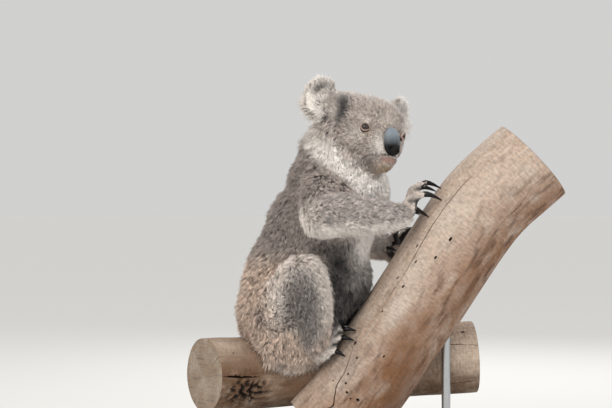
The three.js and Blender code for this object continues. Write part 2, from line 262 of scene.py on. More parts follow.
def flow_at(node, points):
    """The way the hair lies at points in the koala's frame, before it is laid on the skin."""
    region = region_of(node)
    if region == "head":
        return unit((points - HEAD_AT) @ HEAD_AXES - NOSE_TIP) @ HEAD_AXES.T
    if region == "ear":
        root = EAR_ROOT * [side_of(node), 1, 1]
        return unit((points - HEAD_AT) @ HEAD_AXES - root) @ HEAD_AXES.T
    if region in BONES:
        start, end = (BONES if side_of(node) < 0 else BONES_LEFT)[region]
        hanging = np.array([0, 0, -0.25])
        return unit(np.tile(unit(np.subtract(end, start).astype(float)) + hanging, (len(points), 1)))
    down = np.tile([-0.18, 0, -1.0], (len(points), 1))
    down[:, 1] = np.sign(points[:, 1]) * 0.15
    return unit(down)


print("flesh nodes", len(flesh))

# %% [markdown]
# ## Forms turned about an axis
# Ears, eyes and the nose all start as a profile turned about a line, as on a lathe. Blender can
# turn one with its screw modifier, but here the points keep an order that later cells can use.

# %% Turned forms


def ring_quads(count, around, first=0):
    """Four-cornered faces between rings of points that follow each other."""
    ring = np.arange(around)
    after = (ring + 1) % around
    lows = [first + k * around for k in range(count - 1)]
    highs = [low + around for low in lows]
    return np.concatenate([np.stack([low + ring, high + ring, high + after, low + after], 1)
                           for low, high in zip(lows, highs)])


def turned(profile, around):
    """A closed form turned about Y from (radius, y) stations; the first and last lie on the axis."""
    profile = np.asarray(profile, float)
    angles = np.linspace(0, 2 * math.pi, around, endpoint=False)
    rings = profile[1:-1]
    points = [[0, profile[0, 1], 0], [0, profile[-1, 1], 0]]
    points += [[r * math.cos(a), y, r * math.sin(a)] for r, y in rings for a in angles]
    quads = ring_quads(len(rings), around, 2)
    ring = np.arange(around)
    after = (ring + 1) % around
    last = 2 + (len(rings) - 1) * around
    first_cap = np.stack([np.zeros(around, int), 2 + ring, 2 + after], 1)
    last_cap = np.stack([np.ones(around, int), last + after, last + ring], 1)
    return np.array(points), np.concatenate([quads[:, [0, 1, 2]], quads[:, [0, 2, 3]], first_cap, last_cap])


def ball(radii, around=20):
    """A closed ball with three radii."""
    steps = np.linspace(0, math.pi, around // 2 + 1)
    points, faces = turned([(math.sin(s), -math.cos(s)) for s in steps], around)
    return points * radii, faces


# %% [markdown]
# ## The ears' leaves
# Under its fringe a koala's ear is a thin round cup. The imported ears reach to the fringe's tips,
# so the skin gets a smaller cup of its own: one profile turned round and squashed. A flat ball
# joins it to the head.

# %% Ear leaves
EAR_AT = np.array([86, 40, 41])
EAR_TURN = math.radians(30)
EAR_ROOT_SIZE = [20, 13, 22]
LEAF_WIDE = 26
LEAF_TALL = 33
LEAF_PROFILE = [  # radius as a share of the leaf's, and mm backwards
    (0, 3), (0.35, 1.5), (0.7, -3), (0.9, -7.5), (1, -8), (0.98, -4), (0.8, 4), (0.45, 9), (0, 11),
]


def ear_forms(side):
    """One ear's cup and its root, each as points in the head's frame and faces."""
    points, faces = turned(LEAF_PROFILE, 28)
    turn = np.array(Matrix.Rotation(side * EAR_TURN, 3, "Z"))
    leaf = points * [LEAF_WIDE, 1, LEAF_TALL] @ turn.T + EAR_AT * [side, 1, 1]
    root_points, root_faces = ball(EAR_ROOT_SIZE)
    return [(leaf, faces), (root_points + EAR_ROOT * [side, 1, 1], root_faces)]


print("ear leaf", 2 * LEAF_WIDE, "by", 2 * LEAF_TALL, "mm")

# %% [markdown]
# ## One skin
# The solids of flesh are swollen until they meet, melted into one closed surface by a voxel
# remesh, and relaxed. Broad forms are relaxed a lot and fingers a little, so the facets go
# and the fingers stay. Sculpting by hand would look as good but can't be written down.

# %% Skin from the solids
VOXEL = 2.4
SWELL = 0.5
solids, node_of_face = [], []
for index, name in enumerate(flesh):
    if region_of(name) == "ear":
        forms = [(from_head(points), faces) for points, faces in ear_forms(side_of(name))]
    else:
        mesh = frame["nodes"][name].data
        forms = [(read_points(mesh), read_triangles(mesh))]
    solids += forms
    node_of_face += [index] * sum(len(faces) for _, faces in forms)
solid_points, solid_faces = joined(solids)
swollen = solid_points + normals_of(solid_points, solid_faces) * SWELL * MM
skin = mesh_piece("skin", swollen, solid_faces)
modified(skin, "REMESH", mode="VOXEL", voxel_size=VOXEL * MM)
skin_points = read_points(skin.data)
print("skin points", len(skin_points))

# %% [markdown]
# ## Relaxing and laying in
# A point moves towards the mean of its neighbours, again and again. The same averaging blends the
# regions' values across the skin. Then each point sinks by the depth of the coat above it.

# %% Relaxing


def read_edges(mesh):
    edges = np.empty(len(mesh.edges) * 2, dtype=np.int32)
    mesh.edges.foreach_get("vertices", edges)
    return edges.reshape(-1, 2)


edges = read_edges(skin.data)
skin_faces = np.array([polygon.vertices[:] for polygon in skin.data.polygons])
neighbours = np.bincount(edges.ravel(), minlength=len(skin_points)).astype(float)


def spread(values, share, times):
    """Averages values over neighbouring points; share says how far each point gives way."""
    values = np.array(values, float)
    columns = values.reshape(len(values), -1)
    for _ in range(times):
        for k in range(columns.shape[1]):
            column = columns[:, k]
            total = np.bincount(edges[:, 0], column[edges[:, 1]], len(column))
            total += np.bincount(edges[:, 1], column[edges[:, 0]], len(column))
            column += share * (total / neighbours - column)
    return columns.reshape(values.shape)


packed = BVHTree.FromPolygons(solid_points.tolist(), solid_faces.tolist())
nearest_face = [packed.find_nearest(point)[2] for point in skin_points.tolist()]
node_at = np.array(node_of_face)[nearest_face]
region_at = np.array([list(COAT).index(region_of(flesh[i])) for i in node_at])
is_fine = np.isin(region_at, [list(COAT).index(name) for name in ("hand", "foot", "ear")])
softness = spread(np.where(is_fine, 0.12, 0.6), 0.5, 4)
skin_points = spread(skin_points, softness, 40)
coat_values = spread(np.array(list(COAT.values()))[region_at], 0.5, 12)
region_shares = spread(np.eye(len(COAT))[region_at], 0.6, 14)
lie = np.zeros_like(skin_points)
for index, name in enumerate(flesh):
    chosen = node_at == index
    lie[chosen] = flow_at(name, to_koala(skin_points[chosen]))
lie = spread(lie, 0.5, 25)
print("coat depth", coat_values[:, 0].min().round(1), "to", coat_values[:, 0].max().round(1), "mm")

# %% [markdown]
# ## The face
# The coat is thinnest round the eyes, on the muzzle and on the lips, so the skin comes up to the
# packed surface there. Everywhere else it sinks by the coat's whole depth, so that the tips of
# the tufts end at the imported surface.

# %% Face
EYE_AT = np.array([40, -38.5, -6.5])
GAZE = unit([0.574, -0.819, 0.02])


def nearness(points, at, reach):
    """1 at a place and fading to 0 over the reach, which may differ by axis."""
    return np.exp(-(((points - at) / reach) ** 2).sum(1))


def both_sides(points):
    """Folds points onto the head's left half."""
    return np.column_stack([np.abs(points[:, 0]), points[:, 1:]])


def thin_coat(head_points):
    """How much of the coat's depth is left on the face: 1 is all of it."""
    folded = both_sides(head_points)
    left = np.ones(len(folded))
    for at, reach, share in (
        (EYE_AT + [2, -6, 0], [16, 14, 13], 0.85),
        ([0, -62, -34], [26, 24, 26], 0.85),
        ([0, -60, -62], [20, 20, 13], 0.7),
        ([0, -50, 6], [16, 20, 16], 0.45),
    ):
        left *= 1 - share * nearness(folded, at, reach)
    return left


def quad_normals(points, quads):
    """Unit normals of the points of four-cornered faces."""
    return unit(normals_of(points, quads[:, :3]) + normals_of(points, quads[:, [0, 2, 3]]))


normals = quad_normals(skin_points, skin_faces)
in_head = to_head(skin_points)
near_head = nearness(in_head, [0, -10, 0], [85, 85, 90]) > 0.2
depth = coat_values[:, 0] * np.where(near_head, thin_coat(in_head), 1)
skin_points = skin_points - normals * (depth * MM)[:, None]
skin_points = spread(skin_points, softness * 0.5, 3)
print("coat on the face, thinnest", depth[near_head].min().round(1), "mm")

# %% [markdown]
# ## Eye sockets and mouth
# The remesh is too coarse for lids and lips. Each is pushed in or out of the relaxed skin by a
# formula of the distance from it, so both sides of the face come out alike.

# %% Sockets and mouth
SOCKET_DEEP, SOCKET_REACH = 7.0, 6.5
RIM_HIGH, RIM_AT, RIM_WIDE = 1.3, 9.0, 2.5
HOLLOW_DEEP, HOLLOW_AT, HOLLOW_REACH = 3.0, [22, -50, -2], [9, 14, 14]
MOUTH_Z, MOUTH_DROOP, MOUTH_HALF = -49, 0.12, 29
CREASE_DEEP, CREASE_WIDE = 3.4, 2.0
LIP_FULL, LIP_BELOW, LIP_WIDE = 1.4, 7, 5.0
in_head = to_head(skin_points)
folded = both_sides(in_head)
from_eye = folded - EYE_AT
along_gaze = from_eye @ GAZE
off_gaze = np.linalg.norm(from_eye - along_gaze[:, None] * GAZE, axis=1)
ahead = along_gaze > 0
push = np.zeros_like(skin_points)
# The opening sinks behind the eyeball, inside a low rim.
push -= GAZE * (SOCKET_DEEP * np.exp(-((off_gaze / SOCKET_REACH) ** 4)) * ahead)[:, None]
push += GAZE * (RIM_HIGH * np.exp(-(((off_gaze - RIM_AT) / RIM_WIDE) ** 2)) * ahead)[:, None]
# A hollow in front of each eye, towards the nose.
push[:, 1] += HOLLOW_DEEP * nearness(folded, HOLLOW_AT, HOLLOW_REACH)
# The mouth: a crease from under the nose to its corner, with a lip below it.
above_crease = folded[:, 2] - (MOUTH_Z - MOUTH_DROOP * folded[:, 0])
front = (folded[:, 1] < -40) & (folded[:, 0] < MOUTH_HALF - 2)
fade = np.clip((MOUTH_HALF - folded[:, 0]) / 6, 0, 1) * front
push[:, 1] += CREASE_DEEP * np.exp(-((above_crease / CREASE_WIDE) ** 2)) * fade
push[:, 1] -= LIP_FULL * np.exp(-(((above_crease + LIP_BELOW) / LIP_WIDE) ** 2)) * fade
push[:, 0] *= np.sign(in_head[:, 0])
in_head = in_head + push * near_head[:, None]
skin_points = np.where(near_head[:, None], from_head(in_head), skin_points)
skin.data.vertices.foreach_set("co", skin_points.astype(np.float32).ravel())
skin.data.update()
skin.data.shade_smooth()
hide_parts(*flesh)
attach(skin, "root")
print("skin size", [round(v, 3) for v in np.ptp(skin_points, axis=0)])

# %% [markdown]
# ## Tools for markings
# A marking is a named place on the body with a soft edge: past an edge, near a line or near a
# point. Painting by hand would need an image; a formula of the place gives skin and coat the same
# marking at any point.

# %% Soft edges and patches
MOTTLE_SIZE = 7.0


def past(values, edge, width):
    """0 before an edge and 1 after it, with a soft change over the width."""
    return 0.5 + 0.5 * np.tanh((values - edge) / width)


def before(values, edge, width):
    """1 before an edge and 0 after it."""
    return past(-values, -edge, width)


def off_segment(points, start, end):
    """Each point's offset from a straight line between two places."""
    start, end = np.array(start, float), np.array(end, float)
    along = end - start
    share = np.clip((points - start) @ along / (along @ along), 0, 1)
    return points - start - share[:, None] * along


def streak(points, start, end, reach):
    """1 on a line between two places and fading to 0 over the reach."""
    return np.exp(-(np.linalg.norm(off_segment(points, start, end), axis=1) / reach) ** 2)


def mottle(points, size=MOTTLE_SIZE):
    """Soft patches about as big as a lock of wool, from -1 to 1."""
    places = (np.asarray(points) / (size * MM)).tolist()
    return np.array([noise.noise(place) for place in places])


# %% [markdown]
# ## Between the toes and fingers
# The remesh closes the narrow clefts between the digits. Each claw tells where its digit ends, so a cleft
# runs back from midway between two neighbouring claws, and is drawn dark as painted shade.

# %% Clefts
CLEFT_REACH = 5.0
CLEFT_RUN = np.array([-14, 6, -3])
NEIGHBOUR_REACH = 34


def claw_roots():
    """Where each claw leaves its digit, in mm, by the claw's node name."""
    on_digits = np.isin(region_at, [list(COAT).index(name) for name in ("hand", "foot")])
    digits = to_koala(skin_points[on_digits])
    roots = {}
    for name in sorted(frame["nodes"]):
        if "_claw_" in name:
            points = to_koala(read_points(frame["nodes"][name].data))
            from_middle = points - points.mean(0)
            along = from_middle @ np.linalg.svd(from_middle, full_matrices=False)[2][0]
            ends = [points[along > 0.8 * along.max()].mean(0), points[along < 0.8 * along.min()].mean(0)]
            roots[name] = min(ends, key=lambda end: np.linalg.norm(digits - end, axis=1).min())
    return roots


def between(roots):
    """Places midway between the roots of neighbouring claws of the same hand or foot."""
    pairs = zip(roots.items(), list(roots.items())[1:])
    return [(a + b) / 2 for (one, a), (other, b) in pairs
            if one.rsplit("_", 1)[0] == other.rsplit("_", 1)[0] and np.linalg.norm(a - b) < NEIGHBOUR_REACH]


def cleft_shade(points):
    """1 in the clefts that run back from between the claws, fading to 0 on the digits: painted shade between
    the digits.
    """
    near = []
    for gap in CLAW_GAPS:
        off = off_segment(points, gap, gap + CLEFT_RUN * [1, np.sign(gap[1]), 1]) * [1, 0.5, 1]
        near.append(np.exp(-((np.linalg.norm(off, axis=1) / CLEFT_REACH) ** 2)))
    return np.max(near, axis=0)


CLAW_ROOTS = claw_roots()
CLAW_GAPS = between(CLAW_ROOTS)
print("gaps between toes and fingers", len(CLAW_GAPS))

# %% [markdown]
# ## Markings of the body
# A koala is grey-brown on the back and arms, warm cream on the rump and thighs, and white on the
# throat, the chest and the inside of the arms. Its palms and soles are bare dark skin.

# %% Body markings


def body_markings(points, normals, part):
    """How pale, warm and dark the body is, and where its dark bare pads are, each from 0 to 1; the dark
    holds painted shade on the flank, under the arm, in the leg's fold and between the digits.
    """
    p = to_koala(points)
    x, y, z = p.T
    facing = normals[:, 1] * np.sign(y)
    body = part["trunk"] + part["neck"]
    shoulder = part["upper_arm"]
    leg = part["thigh"] + part["shank"]
    # Throat and chest are white, and greyer up the side of the neck.
    throat = past((x + 9) * 0.68 + (z - 396) * 0.73, 0, 5) * past(x, -9, 5) * (body + shoulder)
    throat = throat * (1 - 0.6 * past(z, 418, 9))
    # Next to the head's underside the white gives way to grey, partly as painted shade under the head.
    throat = throat * (1 - 0.85 * past(x * 0.84 + z * 0.55, 252, 5) * past(z, 372, 7))
    chest = past(x, 60, 12) * past(z, 205, 16) * part["trunk"]
    stripe = 0.2 * past(x, 48, 10) * before(z, 235, 14) * past(z, 165, 12) * part["trunk"]
    # The fringe under the rump is cream, the legs have a pale rim round a dark oval. The left
    # leg is drawn up, so its oval lies further forward and higher.
    forward, higher = np.where(y < 0, 0, 14), np.where(y < 0, 0, 34)
    oval = ((x - forward + 34) / 36) ** 2 + ((z - higher - 122) / 76) ** 2
    oval = before(oval, 0.8, 0.35) * past(facing, 0.2, 0.25) * leg
    fringe = 0.3 * before(z, 30, 12) * part["trunk"]
    rim = 0.5 * leg * (1 - oval) * past(z, 95, 30) * past(x - forward, -92, 8)
    # A dark line in the fold at the back of the leg, painted shade.
    fold_shade = before(np.abs(x - forward + 72), 5, 3) * before(np.abs(z - higher - 108), 48, 12)
    # Arms are grey and mottled outside, cream below and at the elbow's back edge.
    under = np.maximum(before(normals[:, 2], -0.35, 0.16), before(facing, -0.25, 0.25))
    under = np.maximum(under, before(x, -14, 7) * before(z, 300, 12)) * (part["forearm"] + 0.6 * shoulder)
    outside = 0.16 * part["forearm"] * (1 - under)
    backs = 0.6 * part["foot"] + 0.4 * part["hand"]
    pale = np.maximum.reduce([throat, chest, stripe, fringe, rim, 0.66 * under, outside, backs])
    # The rump and thighs are a warm cream.
    warm = 0.25 + 0.75 * before(z, 208, 14) * before(x, 8, 14) * part["trunk"]
    warm = warm + (0.75 - warm) * leg * (1 - oval)
    warm = np.maximum(warm * (1 - 0.9 * oval), 0.7 * under)
    warm = np.maximum(warm, 0.8 * (part["hand"] + part["foot"]))
    # The belly beside the leg and the flank are dark wool with painted shade laid over it; the back is a
    # little darker than the arms, partly as painted shade.
    flank_dark_and_shade = before(z, 238, 16) * past(x, -4, 14) * part["trunk"] * (1 - chest) * (1 - 0.8 * stripe)
    flank_dark_and_shade = flank_dark_and_shade * (0.93 + 0.28 * mottle(points, 11))
    back = 0.36 * past(z, 215, 16) * before(x, 6, 22) * (body + 0.6 * shoulder)
    # A band of painted shade under the arm, on the trunk.
    armpit_shade = 0.8 * past(x, -20, 10) * before(np.abs(z - 230), 16, 8) * part["trunk"] * (1 - chest)
    dark = np.maximum.reduce([flank_dark_and_shade, armpit_shade, back * (1 - throat), 0.5 * oval, 0.4 * fold_shade * leg])
    dark = np.maximum(dark, 0.5 * np.clip(mottle(points, 9) + 0.15, 0, 1) * part["forearm"] * (1 - under))
    digits = part["hand"] + part["foot"]
    # Painted shade in the clefts between the digits: dark there, and not pale.
    gaps = cleft_shade(p)
    dark = np.maximum(dark, gaps * digits)
    # Palms and soles face the limb, whose axis runs between these two places.
    from_limb = unit(off_segment(p, (65, 0, -33), (340, 0, 350)))
    pads = before((normals * from_limb).sum(1), -0.1, 0.12) * past(digits, 0.6, 0.1)
    return pale * (1 - gaps), warm, dark, pads


# %% [markdown]
# ## Markings of the head
# The face is grey, white on the muzzle and the cheeks, tan on the chin and dark in front of each ear, with
# painted shade under the jaw and along the mouth. The ears have long white hair inside, round a grey hollow
# of painted shade.

# %% Head markings


def face_markings(f):
    """How dark, pale, tan and pink the face is and where the mouth opens, at folded places; the dark holds
    painted shade under the jaw and along the mouth.
    """

    def spot(share, place, reach):
        return share * nearness(f, place, reach)

    temple = np.maximum(streak(f, (65, 0, 52), (68, -9, 24), 12), streak(f, (68, -9, 24), (73, -4, 2), 11))
    dark = np.maximum.reduce([
        1.3 * temple,
        0.42 * streak(f, (70, -10, 8), (60, -27, -8), 8),
        spot(0.2, (56, -16, -50), (18, 24, 14)),
        # The next two: painted shade under the jaw and along the mouth's crease.
        spot(0.9, (25, -38, -67), (9, 16, 14)),
        0.6 * streak(f, (12, -68, -51), (27, -52, -54), 3.5),
        spot(0.3, (0, -60, -84), (30, 20, 6)),
        spot(0.22, (20, -42, 20), (9, 14, 9)),
    ])
    pale = np.maximum.reduce([
        spot(0.7, (40, -47, 6), (10, 8, 4)),
        spot(0.8, (17, -64, -33), (14, 18, 19)),
        spot(0.4, (0, -50, 12), (22, 20, 14)),
        spot(0.85, (60, 12, -58), (16, 24, 18)),
        spot(0.3, (50, -36, -22), (16, 16, 14)),
        spot(0.6, (78, 14, 8), (9, 16, 26)),
        0.42 * past(f[:, 2], 44, 9),
    ])
    tan = np.maximum.reduce([
        spot(0.85, (0, -62, -73), (22, 20, 10)),
        spot(0.4, (0, -56, 14), (22, 18, 16)),
        spot(0.6, (35, -48, -15), (9, 9, 6)),
    ])
    crease = f[:, 2] - MOUTH_Z + MOUTH_DROOP * f[:, 0]
    lip = before(np.abs(crease + 8), 7.0, 3.0) * before(f[:, 0], 21, 5) * before(f[:, 1], -50, 3)
    pink = np.maximum.reduce([
        0.85 * lip, spot(0.7, (36, -47, -19), (9, 7, 4)), spot(0.35, (18, -62, -38), (10, 12, 14))])
    mouth = before(np.abs(crease), 1.3, 0.6) * before(f[:, 0], 25, 1.5) * before(f[:, 1], -42, 3)
    return dark, pale, tan, pink, mouth


def ear_markings(q, facing):
    """How pale and dark the ears are: a grey hollow of painted shade, white hair round it and a white edge.
    """
    f = both_sides(q)
    into_ear = facing[:, 0] * np.sign(q[:, 0]) * math.sin(EAR_TURN) - facing[:, 1] * math.cos(EAR_TURN)
    inside = past(into_ear, -0.1, 0.2)
    # The grey hollow is painted shade in the ear's cup, weaker on the left ear.
    hollow = nearness(f, [89, 30, 55], [22, 40, 15])
    hollow = hollow * np.where(q[:, 0] > 0, 0.45, 1)
    across, up = (f[:, 0] - EAR_AT[0]) / LEAF_WIDE, (f[:, 2] - EAR_AT[2]) / LEAF_TALL
    edge = past(np.hypot(across, up), 0.8, 0.08)
    pale = np.maximum(0.15 + 0.65 * inside * (1 - hollow), 0.85 * edge)
    return pale, 0.95 * hollow * inside * (1 - edge)


# %% [markdown]
# ## All markings
# Head, ears and body each have markings of their own. A point near a border belongs to several
# regions by shares, and the same shares mix their markings.

# %% Markings on the skin


def markings(points, normals, shares):
    """How pale, warm, dark, tan and pink the animal is at points in metres, each from 0 to 1; the dark holds
    painted shade as well as dark wool.

    shares tells how much each point belongs to each region, so that regions fade together.
    """
    part = dict(zip(COAT, shares.T))
    head, ear = part["head"], part["ear"]
    pale, warm, dark, pads = body_markings(points, normals, part)
    face_dark, face_pale, tan, pink, mouth = face_markings(both_sides(to_head(points)))
    ear_pale, ear_hollow_shade = ear_markings(to_head(points), normals @ HEAD_AXES)
    pale = (pale * (1 - head) + face_pale * head) * (1 - ear) + ear * ear_pale
    warm = (warm * (1 - head) + 0.3 * head) * (1 - ear) + 0.4 * ear
    dark = (dark * (1 - head) + face_dark * head) * (1 - ear) + ear * ear_hollow_shade
    return {"pale": np.clip(pale, 0, 1), "warm": np.clip(warm, 0, 1), "dark": np.clip(dark, 0, 1),
            "tan": tan * head, "pink": pink * head, "dark_skin": np.maximum(mouth * head, pads)}


def give(piece, name, values):
    """Stores one number or one vector for each point of the mesh, for a material to read."""
    values = np.asarray(values, dtype=np.float32)
    kind, field = ("FLOAT", "value") if values.ndim == 1 else ("FLOAT_VECTOR", "vector")
    attribute = piece.data.attributes.new(name, kind, "POINT")
    attribute.data.foreach_set(field, values.ravel())


skin_normals = quad_normals(skin_points, skin_faces)
for name, values in markings(skin_points, skin_normals, region_shares).items():
    give(skin, name, values)
    print(name, "mean", values.mean().round(3))
give(skin, "tone", 0.5 + 0.35 * mottle(skin_points) + 0.3 * mottle(skin_points, 3.0))
# The skin is darkened like the roots, as painted shade under the coat; the thinly furred skin round the eyes
# is as pale as the tips of the wool.
give(skin, "rise", 0.3 + 0.7 * nearness(both_sides(to_head(skin_points)), EYE_AT, 14))

# %% [markdown]
# ## Unwrapping the skin
# An exported model keeps its colours in images, so the skin is unwrapped. Every tuft then
# gets a tiny patch of that map at the place of its root.

# %% Unwrap
bpy.context.view_layer.objects.active = skin
skin.select_set(True)
skin.data.uv_layers.new(name="OFBake")
bpy.ops.object.mode_set(mode="EDIT")
bpy.ops.mesh.select_all(action="SELECT")
bpy.ops.uv.smart_project(angle_limit=math.radians(66), island_margin=0.002)
bpy.ops.object.mode_set(mode="OBJECT")
skin.select_set(False)
loop_uv = np.empty(len(skin.data.loops) * 2, dtype=np.float32)
skin.data.uv_layers["OFBake"].data.foreach_get("uv", loop_uv)
face_uv = loop_uv.reshape(-1, 4, 2)
print("unwrapped", len(face_uv), "faces")

# %% [markdown]
# ## Where tufts grow
# Tufts are scattered over the whole skin, closer where they are finer. None grow on bare skin:
# the lips, the lids, under the nose pad, the palms and the soles.

# %% Roots of the tufts
random = np.random.default_rng(7)
TUFT_COUNT = 245000
LID_REACH = 7.1
corner = skin_points[skin_faces] / MM
face_area = 0.5 * np.linalg.norm(np.cross(corner[:, 2] - corner[:, 0], corner[:, 3] - corner[:, 1]), axis=1)
print("skin area", round(face_area.sum() / 1e6, 3), "square metres")


def tuft_roots(count):
    """Random places on the skin with what the skin knows there."""
    crowding = face_area / coat_values[skin_faces].mean(1)[:, 2] ** 1.6
    chosen = random.choice(len(skin_faces), count, p=crowding / crowding.sum())
    u, v = random.random(count), random.random(count)
    weights = np.stack([(1 - u) * (1 - v), u * (1 - v), u * v, (1 - u) * v], 1)[:, :, None]
    at = skin_faces[chosen]
    return {
        "place": (skin_points[at] * weights).sum(1),
        "normal": unit((skin_normals[at] * weights).sum(1)),
        "lie": (lie[at] * weights).sum(1),
        "coat": (coat_values[at] * weights).sum(1),
        "uv": (face_uv[chosen] * weights).sum(1),
        "shares": (region_shares[at] * weights).sum(1),
        "region": region_at[at[:, 0]],
    }


def is_bare(roots, marks):
    """True where the skin carries no hair."""
    folded = both_sides(to_head(roots["place"]))
    offset = folded - EYE_AT
    from_sight = np.linalg.norm(offset - (offset @ GAZE)[:, None] * GAZE, axis=1)
    lids = (from_sight < LID_REACH) & (offset @ GAZE > 0)
    lips = (marks["pink"] > 0.75) & (folded[:, 1] < -50)
    pad = (np.hypot(folded[:, 0] / 11.5, (folded[:, 2] + 25) / 21) < 1) & (folded[:, 1] < -50)
    on_head = roots["region"] == list(COAT).index("head")
    return on_head & (lids | lips | pad) | (marks["dark_skin"] > 0.4)


roots = tuft_roots(TUFT_COUNT)
marks = markings(roots["place"], roots["normal"], roots["shares"])
kept = ~is_bare(roots, marks)
roots = {key: values[kept] for key, values in roots.items()}
marks = {key: values[kept] for key, values in marks.items()}
total = int(kept.sum())
print("tufts", total)

# %% [markdown]
# ## How a tuft lies
# A tuft leaves the skin at an angle, bends back along the lie of the hair, and leans to the tip
# of its lock, as wool does. Lengths, angles and directions all vary a little, and drift together
# over a few millimetres, which is what makes the coat look woolly and not combed.

# %% Lie and length
ROOT_SINK = 0.6
TO_MIDDLE = 0.48
BEND = math.radians(14)
TUFTS_PER_LOCK = 7
LOCK_REACH = 9
patches = mottle(roots["place"])
specks = mottle(roots["place"], 3.0)
swirl = mottle(roots["place"], 15)
in_koala = to_koala(roots["place"])
in_head = to_head(roots["place"])
region_names = np.array(list(COAT))[roots["region"]]
on_head = region_names == "head"
shorter = np.where(on_head, thin_coat(in_head) ** 0.8, 1)
is_fringe = (region_names == "trunk") & (in_koala[:, 2] < 45)
is_fringe |= (region_names == "forearm") & (roots["normal"][:, 2] < -0.5)
length = roots["coat"][:, 1] * shorter * (0.75 + 0.5 * random.random(total)) * (1 + 0.2 * patches)
ear_fringe = (region_names == "ear") * before(in_head[:, 2], 34, 8)
nape = (region_names == "neck") * past(in_koala[:, 2], 408, 8) * before(in_koala[:, 0], 28, 8)
length = length * np.where(is_fringe, 1.3, 1) * (1 + 0.8 * ear_fringe + 0.6 * nape)
to_claw = np.min([np.linalg.norm(in_koala - root, axis=1) for root in CLAW_ROOTS.values()], axis=0)
length = np.maximum(length * (1 - 0.55 * np.exp(-(to_claw / 16) ** 2)), 2.2)
width = roots["coat"][:, 2] * (0.75 + 0.5 * random.random(total)) * (0.6 + 0.4 * shorter)
lift = roots["coat"][:, 3] * (0.6 + 0.4 * shorter) + 8 * random.normal(size=total) + 8 * specks
lift = np.radians(np.clip(lift, 8, 75))
tangent = unit(roots["lie"] - (roots["lie"] * roots["normal"]).sum(1)[:, None] * roots["normal"])
turn = 0.38 * random.normal(size=total) + np.where(on_head, 0.6, 1.1) * swirl + 0.5 * specks
tangent = tangent * np.cos(turn)[:, None] + np.cross(roots["normal"], tangent) * np.sin(turn)[:, None]


def stepped(start, share, rise_angle):
    """The end of a step of this share of the tuft's length, at an angle from the skin."""
    step = tangent * np.cos(rise_angle)[:, None] + roots["normal"] * np.sin(rise_angle)[:, None]
    return start + step * (length * share * MM)[:, None]


def locks():
    """For each tuft, the leader of its lock and whether that leader is near enough to join."""
    leaders = np.flatnonzero(random.random(total) < 1 / TUFTS_PER_LOCK)
    tree = KDTree(len(leaders))
    for k, place in enumerate(roots["place"][leaders].tolist()):
        tree.insert(place, k)
    tree.balance()
    leader = leaders[[tree.find(place)[1] for place in roots["place"].tolist()]]
    near = np.linalg.norm(roots["place"] - roots["place"][leader], axis=1) < LOCK_REACH * MM
    return leader, near & (roots["region"] == roots["region"][leader])


leader, joins = locks()
base = roots["place"] - roots["normal"] * ROOT_SINK * MM
middle = stepped(base, TO_MIDDLE, lift + BEND)
tip = stepped(middle, 1 - TO_MIDDLE, lift - BEND)
pull = (0.3 + 0.5 * random.random(total)) * (1 - 0.5 * marks["pale"]) * joins
shift = (tip[leader] - tip) * pull[:, None]
middle, tip = middle + 0.35 * shift, tip + shift
print("mean length", length.mean().round(1), "mm, mean width", width.mean().round(2), "mm")

# %% [markdown]
# ## Tufts as mesh
# One tuft is a closed sliver with five points: its root, a three-cornered girth near the middle
# and its tip. Particle hair would be quicker to make but is lost in an export. Each tuft's place
# on the map is a tiny patch at its root, so it takes the colour of the skin it grows from.

# %% Coat pieces
PATCH = 0.0015
SLIVER = np.array([(0, 1, 3), (0, 3, 2), (0, 2, 1), (4, 3, 1), (4, 2, 3), (4, 1, 2)])
SLIVER_UV = np.array([(0, -PATCH), (-PATCH, 0), (PATCH, 0), (0, PATCH / 3), (0, PATCH)])
SLIVER_RISE = np.array([0, 0.5, 0.5, 0.55, 1])
across = np.cross(roots["normal"], tangent) * (width / 2 * MM)[:, None]
above = unit(np.cross(unit(tip - base), across)) * (width * 0.3 * MM)[:, None]
left, right = middle - across - above * 0.5, middle + across - above * 0.5
points = np.stack([base, left, right, middle + above, tip], 1)
contrast = np.where(on_head, 0.6, 1)
lock_tone = random.normal(size=total)[leader]
tone = np.where(on_head, 0.75, 1) * (0.4 * patches + 0.7 * specks + 0.15 * lock_tone)
tone = np.clip(0.5 + tone + 0.4 * (random.random(total) - 0.5), 0, 1)


def coat_piece(name, chosen):
    """One joined mesh of the chosen tufts, with their markings and their place on the map."""
    number = int(chosen.sum())
    corners = (np.arange(number)[:, None, None] * 5 + SLIVER).reshape(-1, 3)
    piece = mesh_piece(name, points[chosen].reshape(-1, 3), corners)
    for key, values in marks.items():
        give(piece, key, np.repeat(values[chosen], 5))
    give(piece, "tone", np.repeat(tone[chosen], 5))
    give(piece, "rise", (0.5 + (SLIVER_RISE - 0.5) * contrast[chosen][:, None]).ravel())
    uv = (roots["uv"][chosen][:, None, :] + SLIVER_UV).reshape(-1, 2)[corners.ravel()]
    layer = piece.data.uv_layers.new(name="OFBake")
    layer.data.foreach_set("uv", uv.astype(np.float32).ravel())
    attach(piece, "root")
    return piece


